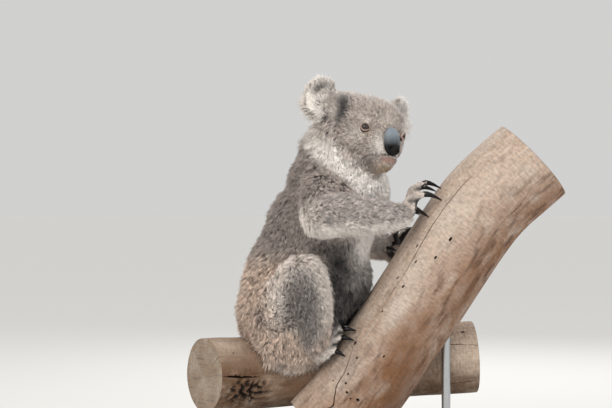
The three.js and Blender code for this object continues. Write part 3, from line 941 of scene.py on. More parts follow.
is_right = in_koala[:, 1] < 0
head_right = to_head(roots["place"])[:, 0] < 0
height = in_koala[:, 2]
is_trunk = region_names == "trunk"
is_arm = np.isin(region_names, ["upper_arm", "forearm"])
is_leg = np.isin(region_names, ["thigh", "shank"])
GROUPS = {
    "coat_face_right": on_head & head_right,
    "coat_face_left": on_head & ~head_right,
    "coat_ears": region_names == "ear",
    "coat_neck": region_names == "neck",
    "coat_chest_right": is_trunk & (height > 190) & is_right,
    "coat_chest_left": is_trunk & (height > 190) & ~is_right,
    "coat_rump_right": is_trunk & (height <= 190) & is_right,
    "coat_rump_left": is_trunk & (height <= 190) & ~is_right,
    "coat_arm_right": is_arm & is_right,
    "coat_arm_left": is_arm & ~is_right,
    "coat_leg_right": is_leg & is_right,
    "coat_leg_left": is_leg & ~is_right,
    "coat_hands": region_names == "hand",
    "coat_feet": region_names == "foot",
}
coats = [coat_piece(name, chosen) for name, chosen in GROUPS.items()]
for coat in coats:
    print(coat.name, len(coat.data.polygons), "triangles")


# %% [markdown]
# ## Tools for finishes
# Colours are written as the hex values that a screen shows and turned to linear light by one
# function. One function adds any node, with its settings and what feeds it. A Mix is fed with the
# share of the second colour and the two colours, a MapRange with a value, the range it comes from
# and the range it goes to. A texture's scale is how often its pattern repeats in a metre, so it
# comes from the pattern's size in millimetres.

# %% Material helpers
COLOURS = {"data_type": "RGBA"}
MULTIPLY, ADD = {"operation": "MULTIPLY"}, {"operation": "ADD"}


def linear(hex_colour):
    """An sRGB hex colour as linear RGBA."""
    parts = [int(hex_colour[k:k + 2], 16) / 255 for k in (1, 3, 5)]
    return tuple(c / 12.92 if c <= 0.04045 else ((c + 0.055) / 1.055) ** 2.4 for c in parts) + (1.0,)


def feed(socket, value):
    """Links a socket from another one, or sets it to a plain value."""
    if isinstance(value, bpy.types.NodeSocket):
        socket.id_data.links.new(value, socket)
    else:
        socket.default_value = value


def add(tree, kind, settings=None, *feeds, out=None, **named):
    """Adds a shader node and gives back its first output, or the one called out.

    A feed is a value, a socket to link from, or the name of a value stored on the mesh. Feeds go
    to the node's inputs in their order.
    """
    node = tree.nodes.new("ShaderNode" + kind)
    for key, value in (settings or {}).items():
        setattr(node, key, value)
    shown = [socket for socket in node.inputs if socket.enabled]
    for socket, value in [*zip(shown, feeds), *((node.inputs[key], value) for key, value in named.items())]:
        if isinstance(value, str):
            value = add(tree, "Attribute", {"attribute_name": value}, out="Fac")
        feed(socket, value)
    return node.outputs[out] if out else next(socket for socket in node.outputs if socket.enabled)


def per_metre(size):
    """How often a pattern of this size in mm repeats in a metre."""
    return 1 / (size * MM)


def blank(name):
    """A new material with its node tree and its shader."""
    material = bpy.data.materials.new(name)
    material.use_nodes = True
    return material, material.node_tree, material.node_tree.nodes["Principled BSDF"]


def surface(shader, **values):
    """Gives the shader's own sockets what feeds them; a value is the same all over the surface."""
    for name, value in values.items():
        feed(shader.inputs[name.replace("_", " ")], value)


def finish(pieces, material):
    """Puts one material on some pieces."""
    for piece in pieces:
        piece.data.materials.clear()
        piece.data.materials.append(material)


# %% [markdown]
# ## Wool and skin
# A koala's wool is dense, dry and matt: grey at the root, with paler tips that catch the light.
# The markings are laid over its grey one after another, and each tuft's own tone and its darker root, partly
# painted shade deep in the coat, are multiplied in. The skin below has the same colours, so no bare ground
# shines through.

# %% Wool and skin
WOOL = "#bdb4b0"
WARM_WOOL = "#d9c3b3"
# The darkest colour stands for both dark wool and painted shade.
DARK_WOOL_AND_SHADE = "#2a2828"
TAN_WOOL = "#bfa588"
PALE_WOOL = "#fffbf6"
LIP_SKIN = "#8a685f"
PAD_SKIN = "#211c1b"


def dimmed(tree, colour, level):
    """A colour times a brightness."""
    grey = add(tree, "CombineColor", None, level, level, level)
    return add(tree, "Mix", {"data_type": "RGBA", "blend_type": "MULTIPLY"}, 1.0, colour, grey)


def marked_wool(tree):
    """The animal's markings as a chain of colours laid over each other."""
    colour = linear(WOOL)
    # The dark layer holds dark wool and painted shade alike.
    for name, layer in (("warm", WARM_WOOL), ("dark", DARK_WOOL_AND_SHADE), ("tan", TAN_WOOL), ("pale", PALE_WOOL)):
        colour = add(tree, "Mix", COLOURS, name, colour, linear(layer))
    # Tufts differ in tone, and roots are darker than tips, partly as painted shade deep in the coat; both
    # less so where the wool is pale.
    pale = add(tree, "Attribute", {"attribute_name": "pale"}, out="Fac")
    lowest = add(tree, "MapRange", None, pale, 0.0, 1.0, 0.5, 0.9)
    highest = add(tree, "MapRange", None, pale, 0.0, 1.0, 1.45, 1.12)
    tone = add(tree, "MapRange", None, "tone", 0.0, 1.0, lowest, highest)
    root = add(tree, "MapRange", None, pale, 0.0, 1.0, 0.55, 0.93)
    height = add(tree, "MapRange", None, "rise", 0.0, 1.0, root, 1.2)
    return dimmed(tree, dimmed(tree, colour, tone), height)


def dry_wool(shader):
    surface(shader, Roughness=0.92, Specular_IOR_Level=0.15, Sheen_Weight=0.2, Sheen_Roughness=0.5)


def wool_material():
    """Dense dry wool: matt, darker at the root with painted shade deep in the coat, with paler tips that
    catch the light.
    """
    material, tree, shader = blank("koala_wool_dense_dry")
    surface(shader, Base_Color=marked_wool(tree))
    dry_wool(shader)
    return material


def skin_material():
    """The wool's own ground, with bare lips and dark pebbled pads where no wool grows."""
    material, tree, shader = blank("koala_skin_woolly_ground")
    colour = add(tree, "Mix", COLOURS, "pink", marked_wool(tree), linear(LIP_SKIN))
    colour = add(tree, "Mix", COLOURS, "dark_skin", colour, linear(PAD_SKIN))
    place = add(tree, "TexCoord", out="Object")
    # Pebbles 1.5 mm apart
    pebbles = add(tree, "TexNoise", Vector=place, Scale=per_metre(1.5385), Detail=3.0)
    dry_wool(shader)
    surface(shader, Base_Color=colour, Roughness=0.75,
            Normal=add(tree, "Bump", Height=pebbles, Distance=0.9 * MM, Strength=0.6))
    return material


finish([skin], skin_material())
finish(coats, wool_material())
print("wool on", len(coats), "coat pieces")

# %% [markdown]
# ## Eyes
# A koala's eye is small for its head, brown, with an upright slit for a pupil. The ball is turned
# about the line of sight and swells where the cornea is; the iris is drawn in the material from
# each point's place on the ball.

# %% Eyes
EYE_RADIUS = 9.0
CORNEA_SWELL = 0.7
CORNEA_EDGE = 42  # degrees off the line of sight


def sight_axes(side):
    """The eye's own axes as columns: across, up and along the line of sight."""
    sight = unit(GAZE * [side, 1, 1])
    across = unit(np.cross([0, 0, 1], sight))
    return np.column_stack([across, np.cross(sight, across), sight])


def eyeball(side):
    """A ball with a swollen cornea; each point keeps its place on the eye, for the iris."""
    points, faces = ball([1, 1, 1], 64)
    points = points[:, [0, 2, 1]] * [1, 1, -1]
    off = np.degrees(np.arccos(np.clip(points[:, 2], -1, 1)))
    swell = CORNEA_SWELL * np.clip(1 - (off / CORNEA_EDGE) ** 2, 0, 1)
    local = points * (EYE_RADIUS + swell)[:, None]
    place = local @ sight_axes(side).T + EYE_AT * [side, 1, 1]
    piece = mesh_piece("eyeball_" + ("left" if side > 0 else "right"), from_head(place), faces[:, ::-1])
    give(piece, "on_eye", local)
    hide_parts("eye_left" if side > 0 else "eye_right")
    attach(piece, "root")
    return piece


eyes = [eyeball(side) for side in (-1, 1)]
print("eyes", [eye.name for eye in eyes])

# %% [markdown]
# ## Eyelids
# The lids are a soft ring of bare skin that lies on the eyeball: a dark moist edge, a rounded
# crest, then a slope that runs under the coat. The opening is a rounded almond with a small
# corner towards the nose.

# %% Eyelids
LID_OPENING = (5.3, 4.2)
LID_PROFILE = [(-0.7, -0.5), (0, 0.2), (0.5, 0.8), (1.1, 1.1), (2.2, 1.0), (3.8, 0.5), (6.0, -1.7)]
LID_MARGIN = [1, 1, 1, 0.3, 0, 0, 0]  # how moist and dark each row of the profile is
CORNER_REACH, CORNER_WIDE, CORNER_DROP = 1.9, 0.3, 0.25  # mm, and two angles in radians


def eyelids(side):
    """Rows of skin that follow the lids' profile out from the opening."""
    around = 72
    angles = np.linspace(0, 2 * math.pi, around, endpoint=False)
    wide, tall = LID_OPENING
    opening = wide * tall / np.hypot(tall * np.cos(angles), wide * np.sin(angles))
    to_nose = math.pi if side > 0 else 0
    turn = (angles - to_nose + math.pi) % (2 * math.pi) - math.pi
    opening = opening + CORNER_REACH * np.exp(-((turn - side * CORNER_DROP) / CORNER_WIDE) ** 2)
    brow = np.clip(np.sin(angles), 0, 1)
    points = []
    for k, (out, height) in enumerate(LID_PROFILE):
        arc = (opening + out * (1 + 0.25 * brow)) / EYE_RADIUS
        radius = EYE_RADIUS + CORNEA_SWELL * 0.7 + height * (1 + 0.35 * brow * (k > 1))
        local = np.stack([np.sin(arc) * np.cos(angles), np.sin(arc) * np.sin(angles), np.cos(arc)], 1)
        points.append(local * radius[:, None])
    place = np.concatenate(points) @ sight_axes(side).T + EYE_AT * [side, 1, 1]
    name = "eyelids_" + ("left" if side > 0 else "right")
    piece = mesh_piece(name, from_head(place), ring_quads(len(LID_PROFILE), around))
    give(piece, "margin", np.repeat(LID_MARGIN, around))
    give(piece, "below", np.tile(np.clip(0.5 - 1.2 * np.sin(angles), 0, 1), len(LID_PROFILE)))
    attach(piece, "root")
    return modified(piece, "SUBSURF", levels=1, render_levels=1)


lids = [eyelids(side) for side in (-1, 1)]
print("lids", [lid.name for lid in lids])

# %% [markdown]
# ## Nose
# The nose is a long oval of bare, pebbled leather that starts between the eyes and widens to the
# nostrils, which curl round its lower sides. A ball is shaped by a few formulas.

# %% Nose
NOSE_AT = np.array([0, -69, -25])
NOSE_SIZE = np.array([15.5, 11.5, 25.5])
NOSE_LEAN = math.radians(14)


def nose_pad():
    """A ball made boxy, wider below and ridged, with two nostrils and a groove up between them."""
    points, faces = ball([1, 1, 1], 96)
    x, y, z = points.T
    turn = np.arctan2(z, x)
    boxy = (np.abs(np.cos(turn)) ** 2.7 + np.abs(np.sin(turn)) ** 2.7) ** (-1 / 2.7)
    widen = 1 - 0.14 * np.clip(z, -1, 1)
    shaped = points * NOSE_SIZE * np.stack([widen * boxy, np.ones_like(x), boxy], 1)
    # A soft ridge down the middle, and a slope in to the lip at the bottom; the front is at -Y.
    shaped[:, 1] -= 1.2 * np.exp(-(x / 0.35) ** 2) * (y < 0) * (z < 0.4)
    shaped[:, 1] += 4.5 * np.clip(-z - 0.62, 0, 1) * (y < 0) * 2
    # Nostrils: a round pit with a slit that curls outwards and up.
    dent = np.zeros(len(points))
    for side in (-1, 1):
        pit = np.hypot(shaped[:, 0] - side * 7.6, (shaped[:, 2] + 16.5) * 1.15)
        dent += 6.5 * np.exp(-(pit / 3.6) ** 4)
        curl = np.hypot(shaped[:, 0] - side * 12.6, (shaped[:, 2] + 12.5) * 0.7)
        dent += 3.0 * np.exp(-(curl / 2.4) ** 4)
        rim = np.hypot(shaped[:, 0] - side * 8.5, (shaped[:, 2] + 15.5) * 1.1)
        dent -= 1.1 * np.exp(-((rim - 6.3) / 1.8) ** 2)
    # The groove from the lip up between the nostrils.
    dent += 1.5 * np.exp(-(x / 0.06) ** 2) * (z < -0.3)
    front = y < 0.1
    shaped[:, 1] += dent * front
    lean = np.array(Matrix.Rotation(-NOSE_LEAN, 3, "X"))
    piece = mesh_piece("nose", from_head(shaped @ lean.T + NOSE_AT), faces)
    give(piece, "height", z)
    give(piece, "pit", np.clip(dent / 5, 0, 1) * front)
    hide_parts("nose_pad")
    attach(piece, "root")
    return piece


nose = nose_pad()
print("nose", [round(v / MM, 1) for v in nose.dimensions], "mm")

# %% [markdown]
# ## Claws
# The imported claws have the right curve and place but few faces. Each is remeshed finely,
# relaxed until it is round, and swollen by what the relaxing took.

# %% Claws
CLAW_VOXEL = 0.55
CLAW_SWELL = 0.42
claws = []
for name in sorted(frame["nodes"]):
    if "_claw_" not in name:
        continue
    mesh = frame["nodes"][name].data
    claw = mesh_piece(name.replace("_claw_", "_nail_"), read_points(mesh), read_triangles(mesh))
    modified(claw, "REMESH", mode="VOXEL", voxel_size=CLAW_VOXEL * MM)
    modified(claw, "SMOOTH", factor=0.5, iterations=10)
    triangles = read_triangles(claw.data)
    swollen = read_points(claw.data)
    swollen = swollen + normals_of(swollen, triangles) * CLAW_SWELL * MM
    claw.data.vertices.foreach_set("co", swollen.astype(np.float32).ravel())
    claw.data.shade_smooth()
    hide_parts(name)
    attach(claw, "root")
    claws.append(claw)
print("claws", len(claws), "faces", sum(len(c.data.polygons) for c in claws))

# %% [markdown]
# ## Finishes of the face and the claws
# A museum's eye is glass: a clear dome over a painted iris. Lids and nose are bare skin, moist at
# the lids' edge and leathery on the nose. Claws are horn, polished by climbing.

# %% Glass eyes
IRIS_EDGE = (4.6, 5.8)
PUPIL_WIDE, PUPIL_TALL = 0.95, 3.9


def eye_material():
    """Glass eye: a polished clear dome over a brown iris with fine rays and an upright slit."""
    material, tree, shader = blank("glass_eye_polished")
    place = add(tree, "Attribute", {"attribute_name": "on_eye"}, out="Vector")
    x, y, _ = add(tree, "SeparateXYZ", None, place).node.outputs
    squared = add(tree, "Math", MULTIPLY, x, x)
    squared = add(tree, "Math", {"operation": "MULTIPLY_ADD"}, y, y, squared)
    off = add(tree, "Math", {"operation": "SQRT"}, squared)
    angle = add(tree, "Math", {"operation": "ARCTAN2"}, y, x)
    ray_place = add(tree, "CombineXYZ", None, angle, off)
    rays = add(tree, "TexNoise", Vector=ray_place, Scale=6.0, Detail=2.0)
    iris = add(tree, "ValToRGB", Fac=rays)
    for stop, position, colour in zip(iris.node.color_ramp.elements, (0.3, 0.7), ("#180f0b", "#412c21")):
        stop.position = position
        stop.color = linear(colour)
    edge = add(tree, "MapRange", None, off, *IRIS_EDGE)
    colour = add(tree, "Mix", COLOURS, edge, iris, linear("#140c09"))
    wide = add(tree, "Math", MULTIPLY, x, 1 / PUPIL_WIDE)
    tall = add(tree, "Math", MULTIPLY, y, 1 / PUPIL_TALL)
    slit = add(tree, "Math", MULTIPLY, wide, wide)
    slit = add(tree, "Math", {"operation": "MULTIPLY_ADD"}, tall, tall, slit)
    pupil = add(tree, "MapRange", None, slit, 0.8, 1.2)
    surface(shader, Base_Color=add(tree, "Mix", COLOURS, pupil, linear("#060505"), colour),
            Roughness=0.12, IOR=1.5, Specular_IOR_Level=0.2, Coat_Weight=0.6, Coat_Roughness=0.03)
    return material


finish(eyes, eye_material())
print("iris", IRIS_EDGE[1] * 2, "mm, pupil", PUPIL_WIDE * 2, "by", PUPIL_TALL * 2, "mm")

# %% Bare skin and horn


def lid_material():
    """Bare living skin: moist and dark at the edge, pink-beige outside, finely creased."""
    material, tree, shader = blank("bare_skin_moist_edge")
    place = add(tree, "TexCoord", out="Object")
    # Creases 1.1 mm apart
    crease = add(tree, "TexNoise", Vector=place, Scale=per_metre(1.111), Detail=3.0)
    skin_tone = add(tree, "Mix", COLOURS, "below", linear("#b8a598"), linear("#b79a8e"))
    skin_tone = dimmed(tree, skin_tone, add(tree, "MapRange", None, crease, 0.3, 0.7, 0.85, 1.1))
    colour = add(tree, "Mix", COLOURS, "margin", skin_tone, linear("#1a1211"))
    surface(shader, Base_Color=colour, Roughness=0.42,
            Normal=add(tree, "Bump", Height=crease, Distance=0.6 * MM, Strength=0.6))
    return material


def nose_material():
    """Bare leathery skin: slate above as a painted reflection of the sky, black at the nostrils, finely
    pebbled.
    """
    material, tree, shader = blank("nose_leather_pebbled")
    place = add(tree, "TexCoord", out="Object")
    # Pebbles 1.3 mm across
    pebbles = add(tree, "TexVoronoi", Vector=place, Scale=per_metre(1.3333))
    # The slate upper part is a painted reflection of the pale sky on the leather.
    upper = add(tree, "MapRange", None, "height", -0.42, 0.4)
    colour = add(tree, "Mix", COLOURS, upper, linear("#060607"), linear("#7e878f"))
    colour = add(tree, "Mix", COLOURS, "pit", colour, linear("#060606"))
    surface(shader, Base_Color=colour, Roughness=0.45, Specular_IOR_Level=0.25,
            Normal=add(tree, "Bump", Height=pebbles, Distance=0.5 * MM, Strength=0.35))
    return material


def claw_material():
    """Horn polished by use: black, with faint brown clouds in it."""
    material, tree, shader = blank("claw_horn_polished")
    place = add(tree, "TexCoord", out="Object")
    # Clouds 4 mm across
    clouds = add(tree, "TexNoise", Vector=place, Scale=per_metre(3.846), Detail=3.0)
    colour = add(tree, "Mix", COLOURS, clouds, linear("#060505"), linear("#171413"))
    surface(shader, Base_Color=colour, Roughness=0.3, Specular_IOR_Level=0.22,
            Normal=add(tree, "Bump", Height=clouds, Distance=0.3 * MM, Strength=0.4))
    return material


finish(lids, lid_material())
finish([nose], nose_material())
finish(claws, claw_material())
print("finished", len(lids) + 1 + len(claws), "pieces of skin and horn")

# %% [markdown]
# ## Weathered wood
# The limb and the log are dead eucalypt without bark: silvery and worn where the weather and
# claws reach, browner below. A curve with a bevel would bend as well, but here any place on the
# wood can be asked for by how far along and how far round it is, which cracks, holes and stains
# all use.

# %% Bent wood
LIMB_AXIS = [[10, 0, -100], [65, 0, -33], [169, 0, 116], [297, 0, 303], [382, 0, 383]]
LOG_AXIS = [[-204, -58, 2], [-124, -8, 2], [-20, 40, 4], [120, 68, 12], [285, 76, 22]]


def smooth_path(stations, count):
    """Points along a centripetal Catmull-Rom curve through the stations."""
    at = np.array(stations, float)
    at = np.vstack([2 * at[0] - at[1], at, 2 * at[-1] - at[-2]])
    path = []
    for t in np.linspace(0, len(stations) - 1, count):
        k = min(int(t), len(stations) - 2)
        w = t - k
        p0, p1, p2, p3 = at[k:k + 4]
        d0, d1, d2 = (np.linalg.norm(b - a) ** 0.5 for a, b in ((p0, p1), (p1, p2), (p2, p3)))
        m1 = ((p1 - p0) / d0 - (p2 - p0) / (d0 + d1) + (p2 - p1) / d1) * d1
        m2 = ((p2 - p1) / d1 - (p3 - p1) / (d1 + d2) + (p3 - p2) / d2) * d1
        bend = (3 * (p2 - p1) - 2 * m1 - m2) * w ** 2 + (2 * (p1 - p2) + m1 + m2) * w ** 3
        path.append(p1 + m1 * w + bend)
    return np.array(path)


class Wood:
    """A length of wood: its axis, its directions across, and how thick it is anywhere."""

    def __init__(self, stations, radius, wander, worn):
        self.path = smooth_path(stations, 400)
        self.radius, self.wander, self.worn = radius, wander, worn
        gaps = np.linalg.norm(np.diff(self.path, axis=0), axis=1)
        self.reach = np.concatenate([[0], np.cumsum(gaps)])
        self.along = unit(np.gradient(self.path, axis=0))
        near = np.array([0.0, -1.0, 0.0])
        self.across = unit(near - (self.along @ near)[:, None] * self.along)
        self.third = np.cross(self.across, self.along)

    def girth(self, reach, angle):
        """The radius there, in mm, before the surface is worn."""
        t = reach / self.reach[-1]
        wave = np.sin(2 * angle + 5 * t) + np.sin(9 * t + angle)
        return self.radius * (1 + self.wander * wave / 2)

    def at(self, reach, angle, height=0.0):
        """A place near the surface: mm along, radians round from the near side, mm above it."""
        k = reach / self.reach[-1] * (len(self.path) - 1)

        def pick(rows):
            return np.stack([np.interp(k, np.arange(len(rows)), rows[:, c]) for c in range(3)], -1)

        out = self.girth(reach, angle) + height
        spoke = pick(self.across) * np.cos(angle)[..., None] + pick(self.third) * np.sin(angle)[..., None]
        return pick(self.path) + spoke * out[..., None]

    def straight(self, points):
        """Where points of the bent wood lie in the straight log, and how far below its surface."""
        best = np.empty(len(points), int)
        for start in range(0, len(points), 4000):
            some = points[start:start + 4000]
            best[start:start + 4000] = ((some[:, None] - self.path) ** 2).sum(2).argmin(1)
        off = points - self.path[best]
        x, y = (off * self.across[best]).sum(1), (off * self.third[best]).sum(1)
        reach = self.reach[best] + (off * self.along[best]).sum(1)
        below = self.girth(reach, np.arctan2(y, x)) - np.hypot(x, y)
        return np.stack([x, y, reach], 1), below


# %% [markdown]
# ## Worn surface
# Weather leaves broad dents and grooves along the grain, and the log has a broken knot. Each
# wooden piece is a fine grid, and each point of it is moved in or out by these heights.

# %% Relief and grid
END_BULGE = 0.8
END_RINGS = (0.985, 0.9, 0.75, 0.55, 0.3)


def limb_wear(reach, angle):
    """Flat worn places on the upper limb, and a low ridge where a branch once grew."""
    worn = -1.0 * np.exp(-(((reach - 210) / 70) ** 2 + ((angle - 0.5) / 0.5) ** 2))
    return worn + 0.8 * np.exp(-(((reach - 140) / 26) ** 2 + ((angle + 0.15) / 0.35) ** 2))


def log_wear(reach, angle):
    """The broken knot near the log's sawn end: a hollow with a ragged floor."""
    hollow = np.exp(-(((reach - 74) / 62) ** 2 + ((angle + 0.46) / 0.46) ** 2) ** 2)
    ragged = [noise.noise((a / 13, b * 9, 7.0)) + 0.4 * noise.noise((a / 5, b * 20, 3.0))
              for a, b in zip(reach.ravel(), angle.ravel())]
    return hollow * (-4.5 + 11.0 * np.clip(np.array(ragged).reshape(reach.shape), -0.5, 0.4))


def relief(wood, reach, angle):
    """Height of the worn surface in mm: broad dents, and grooves that run with the grain."""
    x, y = wood.radius * np.cos(angle), wood.radius * np.sin(angle)
    height = []
    for a, b, c in zip(x.ravel(), y.ravel(), reach.ravel()):
        dents = noise.noise((a / 46, b / 46, c / 90 + wood.radius))
        grooves = noise.noise((a / 7, b / 7, c / 75)) + 0.5 * noise.noise((a / 3, b / 3, c / 40))
        height.append(1.1 * dents + 0.3 * grooves - 0.8)
    return np.array(height).reshape(reach.shape) + wood.worn(reach, angle)


def closed(rings, poles):
    """A closed form from equal rings of points, with a fan to a pole at each end."""
    rings = np.asarray(rings, float)
    count, around = rings.shape[:2]
    points = np.concatenate([rings.reshape(-1, 3), poles])
    quads = ring_quads(count, around).reshape(count - 1, around, 4)
    sides = np.stack([quads[:, :, [0, 3, 2]], quads[:, :, [0, 2, 1]]], 1).reshape(-1, 3)
    ring = np.arange(around)
    after = (ring + 1) % around
    last = (count - 1) * around
    first_fan = np.stack([np.full(around, len(points) - 2), after, ring], 1)
    last_fan = np.stack([np.full(around, len(points) - 1), last + ring, last + after], 1)
    return points, np.concatenate([sides, first_fan, last_fan])


def wood_grid(wood, rows, around):
    """A closed grid: the bent side, and rings that run in over both sawn ends."""
    reach, angle = np.meshgrid(np.linspace(0, wood.reach[-1], rows),
                               np.linspace(-math.pi, math.pi, around, endpoint=False), indexing="ij")
    side = wood.at(reach, angle, relief(wood, reach, angle))
    first, last = (side[k] + (wood.path[k] - side[k]) * (1 - np.array(END_RINGS))[:, None, None]
                   + wood.along[k] * bulge for k, bulge in ((0, -END_BULGE), (-1, END_BULGE)))
    poles = wood.path[[0, -1]] + wood.along[[0, -1]] * [[-END_BULGE], [END_BULGE]]
    return closed(np.concatenate([first[::-1], side, last]), poles)


limb = Wood(LIMB_AXIS, 83, 0.02, limb_wear)
log = Wood(LOG_AXIS, 66, 0.025, log_wear)
print("limb", limb.reach[-1].round(), "mm long, log", log.reach[-1].round(), "mm long")

# %% [markdown]
# ## Cracks and borer holes
# Dead wood splits as it dries, and borers leave round holes. A bump could only darken them, and a
# long crack needs depth, so both are cut as real solids: a thin wedge along a path of (mm along,
# degrees round) places, and a short cone with its point inside the wood.

# %% Cutters
PROUD = 4.0  # how far every cutter stands above the wood, in mm


def crack_wedge(wood, places, width, deep):
    """A wedge along the places, closed at both ends; width and depth in mm."""
    stations = smooth_path([(a, d, 0) for a, d in places], 40)
    reach, angle = stations[:, 0], np.radians(stations[:, 1])
    share = np.linspace(0, 1, len(reach))
    wobble = np.array([noise.noise((s / 6, 3.1, width)) for s in reach])
    half = width / 2 * np.sin(math.pi * share) ** 0.6 * (1 + 0.5 * wobble) + 0.12
    angle = angle + wobble * 1.4 / wood.radius
    spread_angle = half * 1.6 / wood.radius
    rim_a = wood.at(reach, angle - spread_angle, PROUD)
    rim_b = wood.at(reach, angle + spread_angle, PROUD)
    root = wood.at(reach, angle, -deep * np.sin(math.pi * share) ** 0.5 - 1.5)
    points = np.stack([rim_a, rim_b, root], 1).reshape(-1, 3)
    faces = [(0, 2, 1), (len(points) - 3, len(points) - 2, len(points) - 1)]
    for k in range(len(reach) - 1):
        for a, b in ((0, 1), (1, 2), (2, 0)):
            p, q, r, s = 3 * k + a, 3 * k + b, 3 * k + 3 + b, 3 * k + 3 + a
            faces += [(p, q, r), (p, r, s)]
    return points, np.array(faces)


def borer_hole(wood, reach, degrees, width, deep=9.0):
    """A ten-sided cone at one place; width and depth in mm."""
    ring = np.linspace(0, 2 * math.pi, 10, endpoint=False)
    middle = math.radians(degrees)
    points = []
    for height, size in ((PROUD, 1.15), (-deep * 0.6, 0.8)):
        along = reach + width / 2 * size * np.cos(ring) * 1.15
        angle = middle + width / 2 * size * np.sin(ring) / wood.radius
        points.append(wood.at(along, angle, height))
    points.append(wood.at(np.full(2, float(reach)), np.full(2, middle), np.array([PROUD, -deep])))
    points = np.concatenate(points)
    faces = []
    for k in range(10):
        m = (k + 1) % 10
        faces += [(k, m, 10 + m), (k, 10 + m, 10 + k), (20, m, k), (21, 10 + k, 10 + m)]
    return points, np.array(faces)


# %% [markdown]
# ## Where the wood is marked
# Cracks, holes, stains with painted shade among them, and pale worn places, each in the wood's own measure:
# mm along from the first sawn end, and degrees round from the side that faces the viewer.

# %% Marks of the limb
LIMB_CRACKS = [  # a path of (along, round), width, depth
    ([(236, 52), (178, 33), (146, 30), (110, 22), (88, 17), (70, 20), (50, 28)], 2.0, 14),
    ([(487, 42), (440, 45), (404, 46), (336, 42), (288, 41)], 1.6, 12),
    ([(560, -20), (500, -28), (440, -25)], 1.0, 8),
    ([(330, -62), (230, -70), (150, -64)], 1.4, 10),
    ([(520, 150), (400, 142), (270, 149), (120, 140)], 2.2, 15),
]
LIMB_HOLES = [  # along, round, width
    (220, 45, 6.4), (221, 58, 3.8), (204, 30, 4.2), (175, 27, 4.2), (160, 22, 4.4), (146, 38, 4.4),
    (146, 14, 6.0), (139, 6, 4.4), (148, -2, 7.4), (322, 33, 4.6), (279, 38, 4.0), (327, 47, 4.0),
    (354, 37, 4.2), (370, 49, 4.6), (396, 15, 5.2), (370, 18, 4.2), (229, 3, 3.6), (300, -140, 5.0),
    (210, 170, 4.2), (420, 120, 4.6), (480, -100, 4.2),
]
# Stains, with broad spots of painted shade on the lower side near the log.
LIMB_STAINS_AND_SHADE = [  # along, round, half length, half width in degrees, strength
    (256, -17, 24, 13, 0.7), (225, -4, 42, 15, 0.5), (185, -20, 60, 22, 0.75), (135, -42, 70, 26, 0.7),
    (340, -46, 70, 16, 0.55), (112, 2, 34, 12, 0.4), (380, -30, 50, 9, 0.35),
]
LIMB_WORN = [(256, 22, 40, 12, 0.8), (320, 30, 60, 14, 0.5), (102, 32, 50, 16, 0.5), (430, 30, 70, 20, 0.4)]
print("limb", len(LIMB_CRACKS), "cracks", len(LIMB_HOLES), "holes")

# %% Marks of the log
LOG_CRACKS = [
    ([(4, 4), (30, 3), (60, 1), (110, 0)], 3.6, 16),
    ([(516, 25), (460, 28), (400, 24)], 1.6, 10),
    ([(522, -35), (470, -40)], 1.8, 12),
    ([(180, -75), (260, -82), (330, -76)], 1.6, 10),
    ([(16, 100), (60, 104), (130, 98)], 1.8, 12),
]
LOG_HOLES = [
    (500, 50, 5.4), (478, 52, 4.6), (150, 60, 3.6), (40, 40, 3.8), (350, 170, 4.2), (120, -120, 4.4),
]
# Stains, with broad spots of painted shadow from the koala and painted shade on the log.
LOG_STAINS_AND_SHADE = [(70, 30, 120, 70, 0.6), (150, -10, 60, 60, 0.6), (450, -40, 60, 18, 0.5),
              (350, 10, 40, 20, 0.3)]
LOG_WORN = [(500, 10, 60, 30, 0.5), (20, 55, 40, 18, 0.5), (400, 40, 60, 20, 0.5)]
print("log", len(LOG_CRACKS), "cracks", len(LOG_HOLES), "holes")

# %% [markdown]
# ## Splits at the sawn ends
# Sawn wood dries fastest at its ends and splits there from the edge towards the pith. Each split
# is a wedge with a place and a depth of its own, drawn from a seeded generator.

# %% End splits
END_SPLITS = 5


def end_splits(wood, at_start, seed):
    """Thin wedges that run in from the edge of a sawn end towards its middle."""
    rolls = np.random.default_rng(seed)
    wedges = []
    end, inward = (0, 1) if at_start else (-1, -1)
    out = -wood.along[end] * inward
    for k in range(END_SPLITS):
        angle = 2 * math.pi * (k + 0.6 * rolls.random()) / END_SPLITS
        deep, inner = 8 + 8 * rolls.random(), 0.15 + 0.35 * rolls.random()
        half = 0.7 + 0.5 * rolls.random()
        spoke = wood.across[end] * math.cos(angle) + wood.third[end] * math.sin(angle)
        beside = np.cross(spoke, wood.along[end])
        rim = wood.path[end] + spoke * (wood.radius * 1.08)
        core = wood.path[end] + spoke * wood.radius * inner
        above = [core + out * PROUD, rim + out * PROUD - beside * half, rim + out * PROUD + beside * half]
        below = [core - out * 1.5, rim - out * deep - beside * 0.1, rim - out * deep + beside * 0.1]
        wedges.append((np.array(above + below), np.array([
            (0, 1, 2), (3, 5, 4), (0, 3, 4), (0, 4, 1), (1, 4, 5), (1, 5, 2), (2, 5, 3), (2, 3, 0)])))
    return wedges


# %% [markdown]
# ## The limb and the log
# The cutters are taken out of the grids one after another. Then each point is given its place in
# the straight log, in mm, so that the material's grain can follow the bend and enter the cracks.

# %% Wooden pieces


def cut(piece, cutters):
    """Takes the cutters out of a piece, one joined mesh at a time."""
    for name, forms in cutters:
        points, faces = joined(forms)
        tool = mesh_piece(name, from_koala(points), faces, smooth=False)
        outward_mesh(tool)
        modified(piece, "BOOLEAN", object=tool, operation="DIFFERENCE", solver="EXACT")
        bpy.data.objects.remove(tool)
    return piece


def outward_mesh(piece):
    """Turns every loose part of a mesh so that its faces point outwards."""
    mesh = bmesh.new()
    mesh.from_mesh(piece.data)
    bmesh.ops.recalc_face_normals(mesh, faces=mesh.faces)
    mesh.to_mesh(piece.data)
    mesh.free()


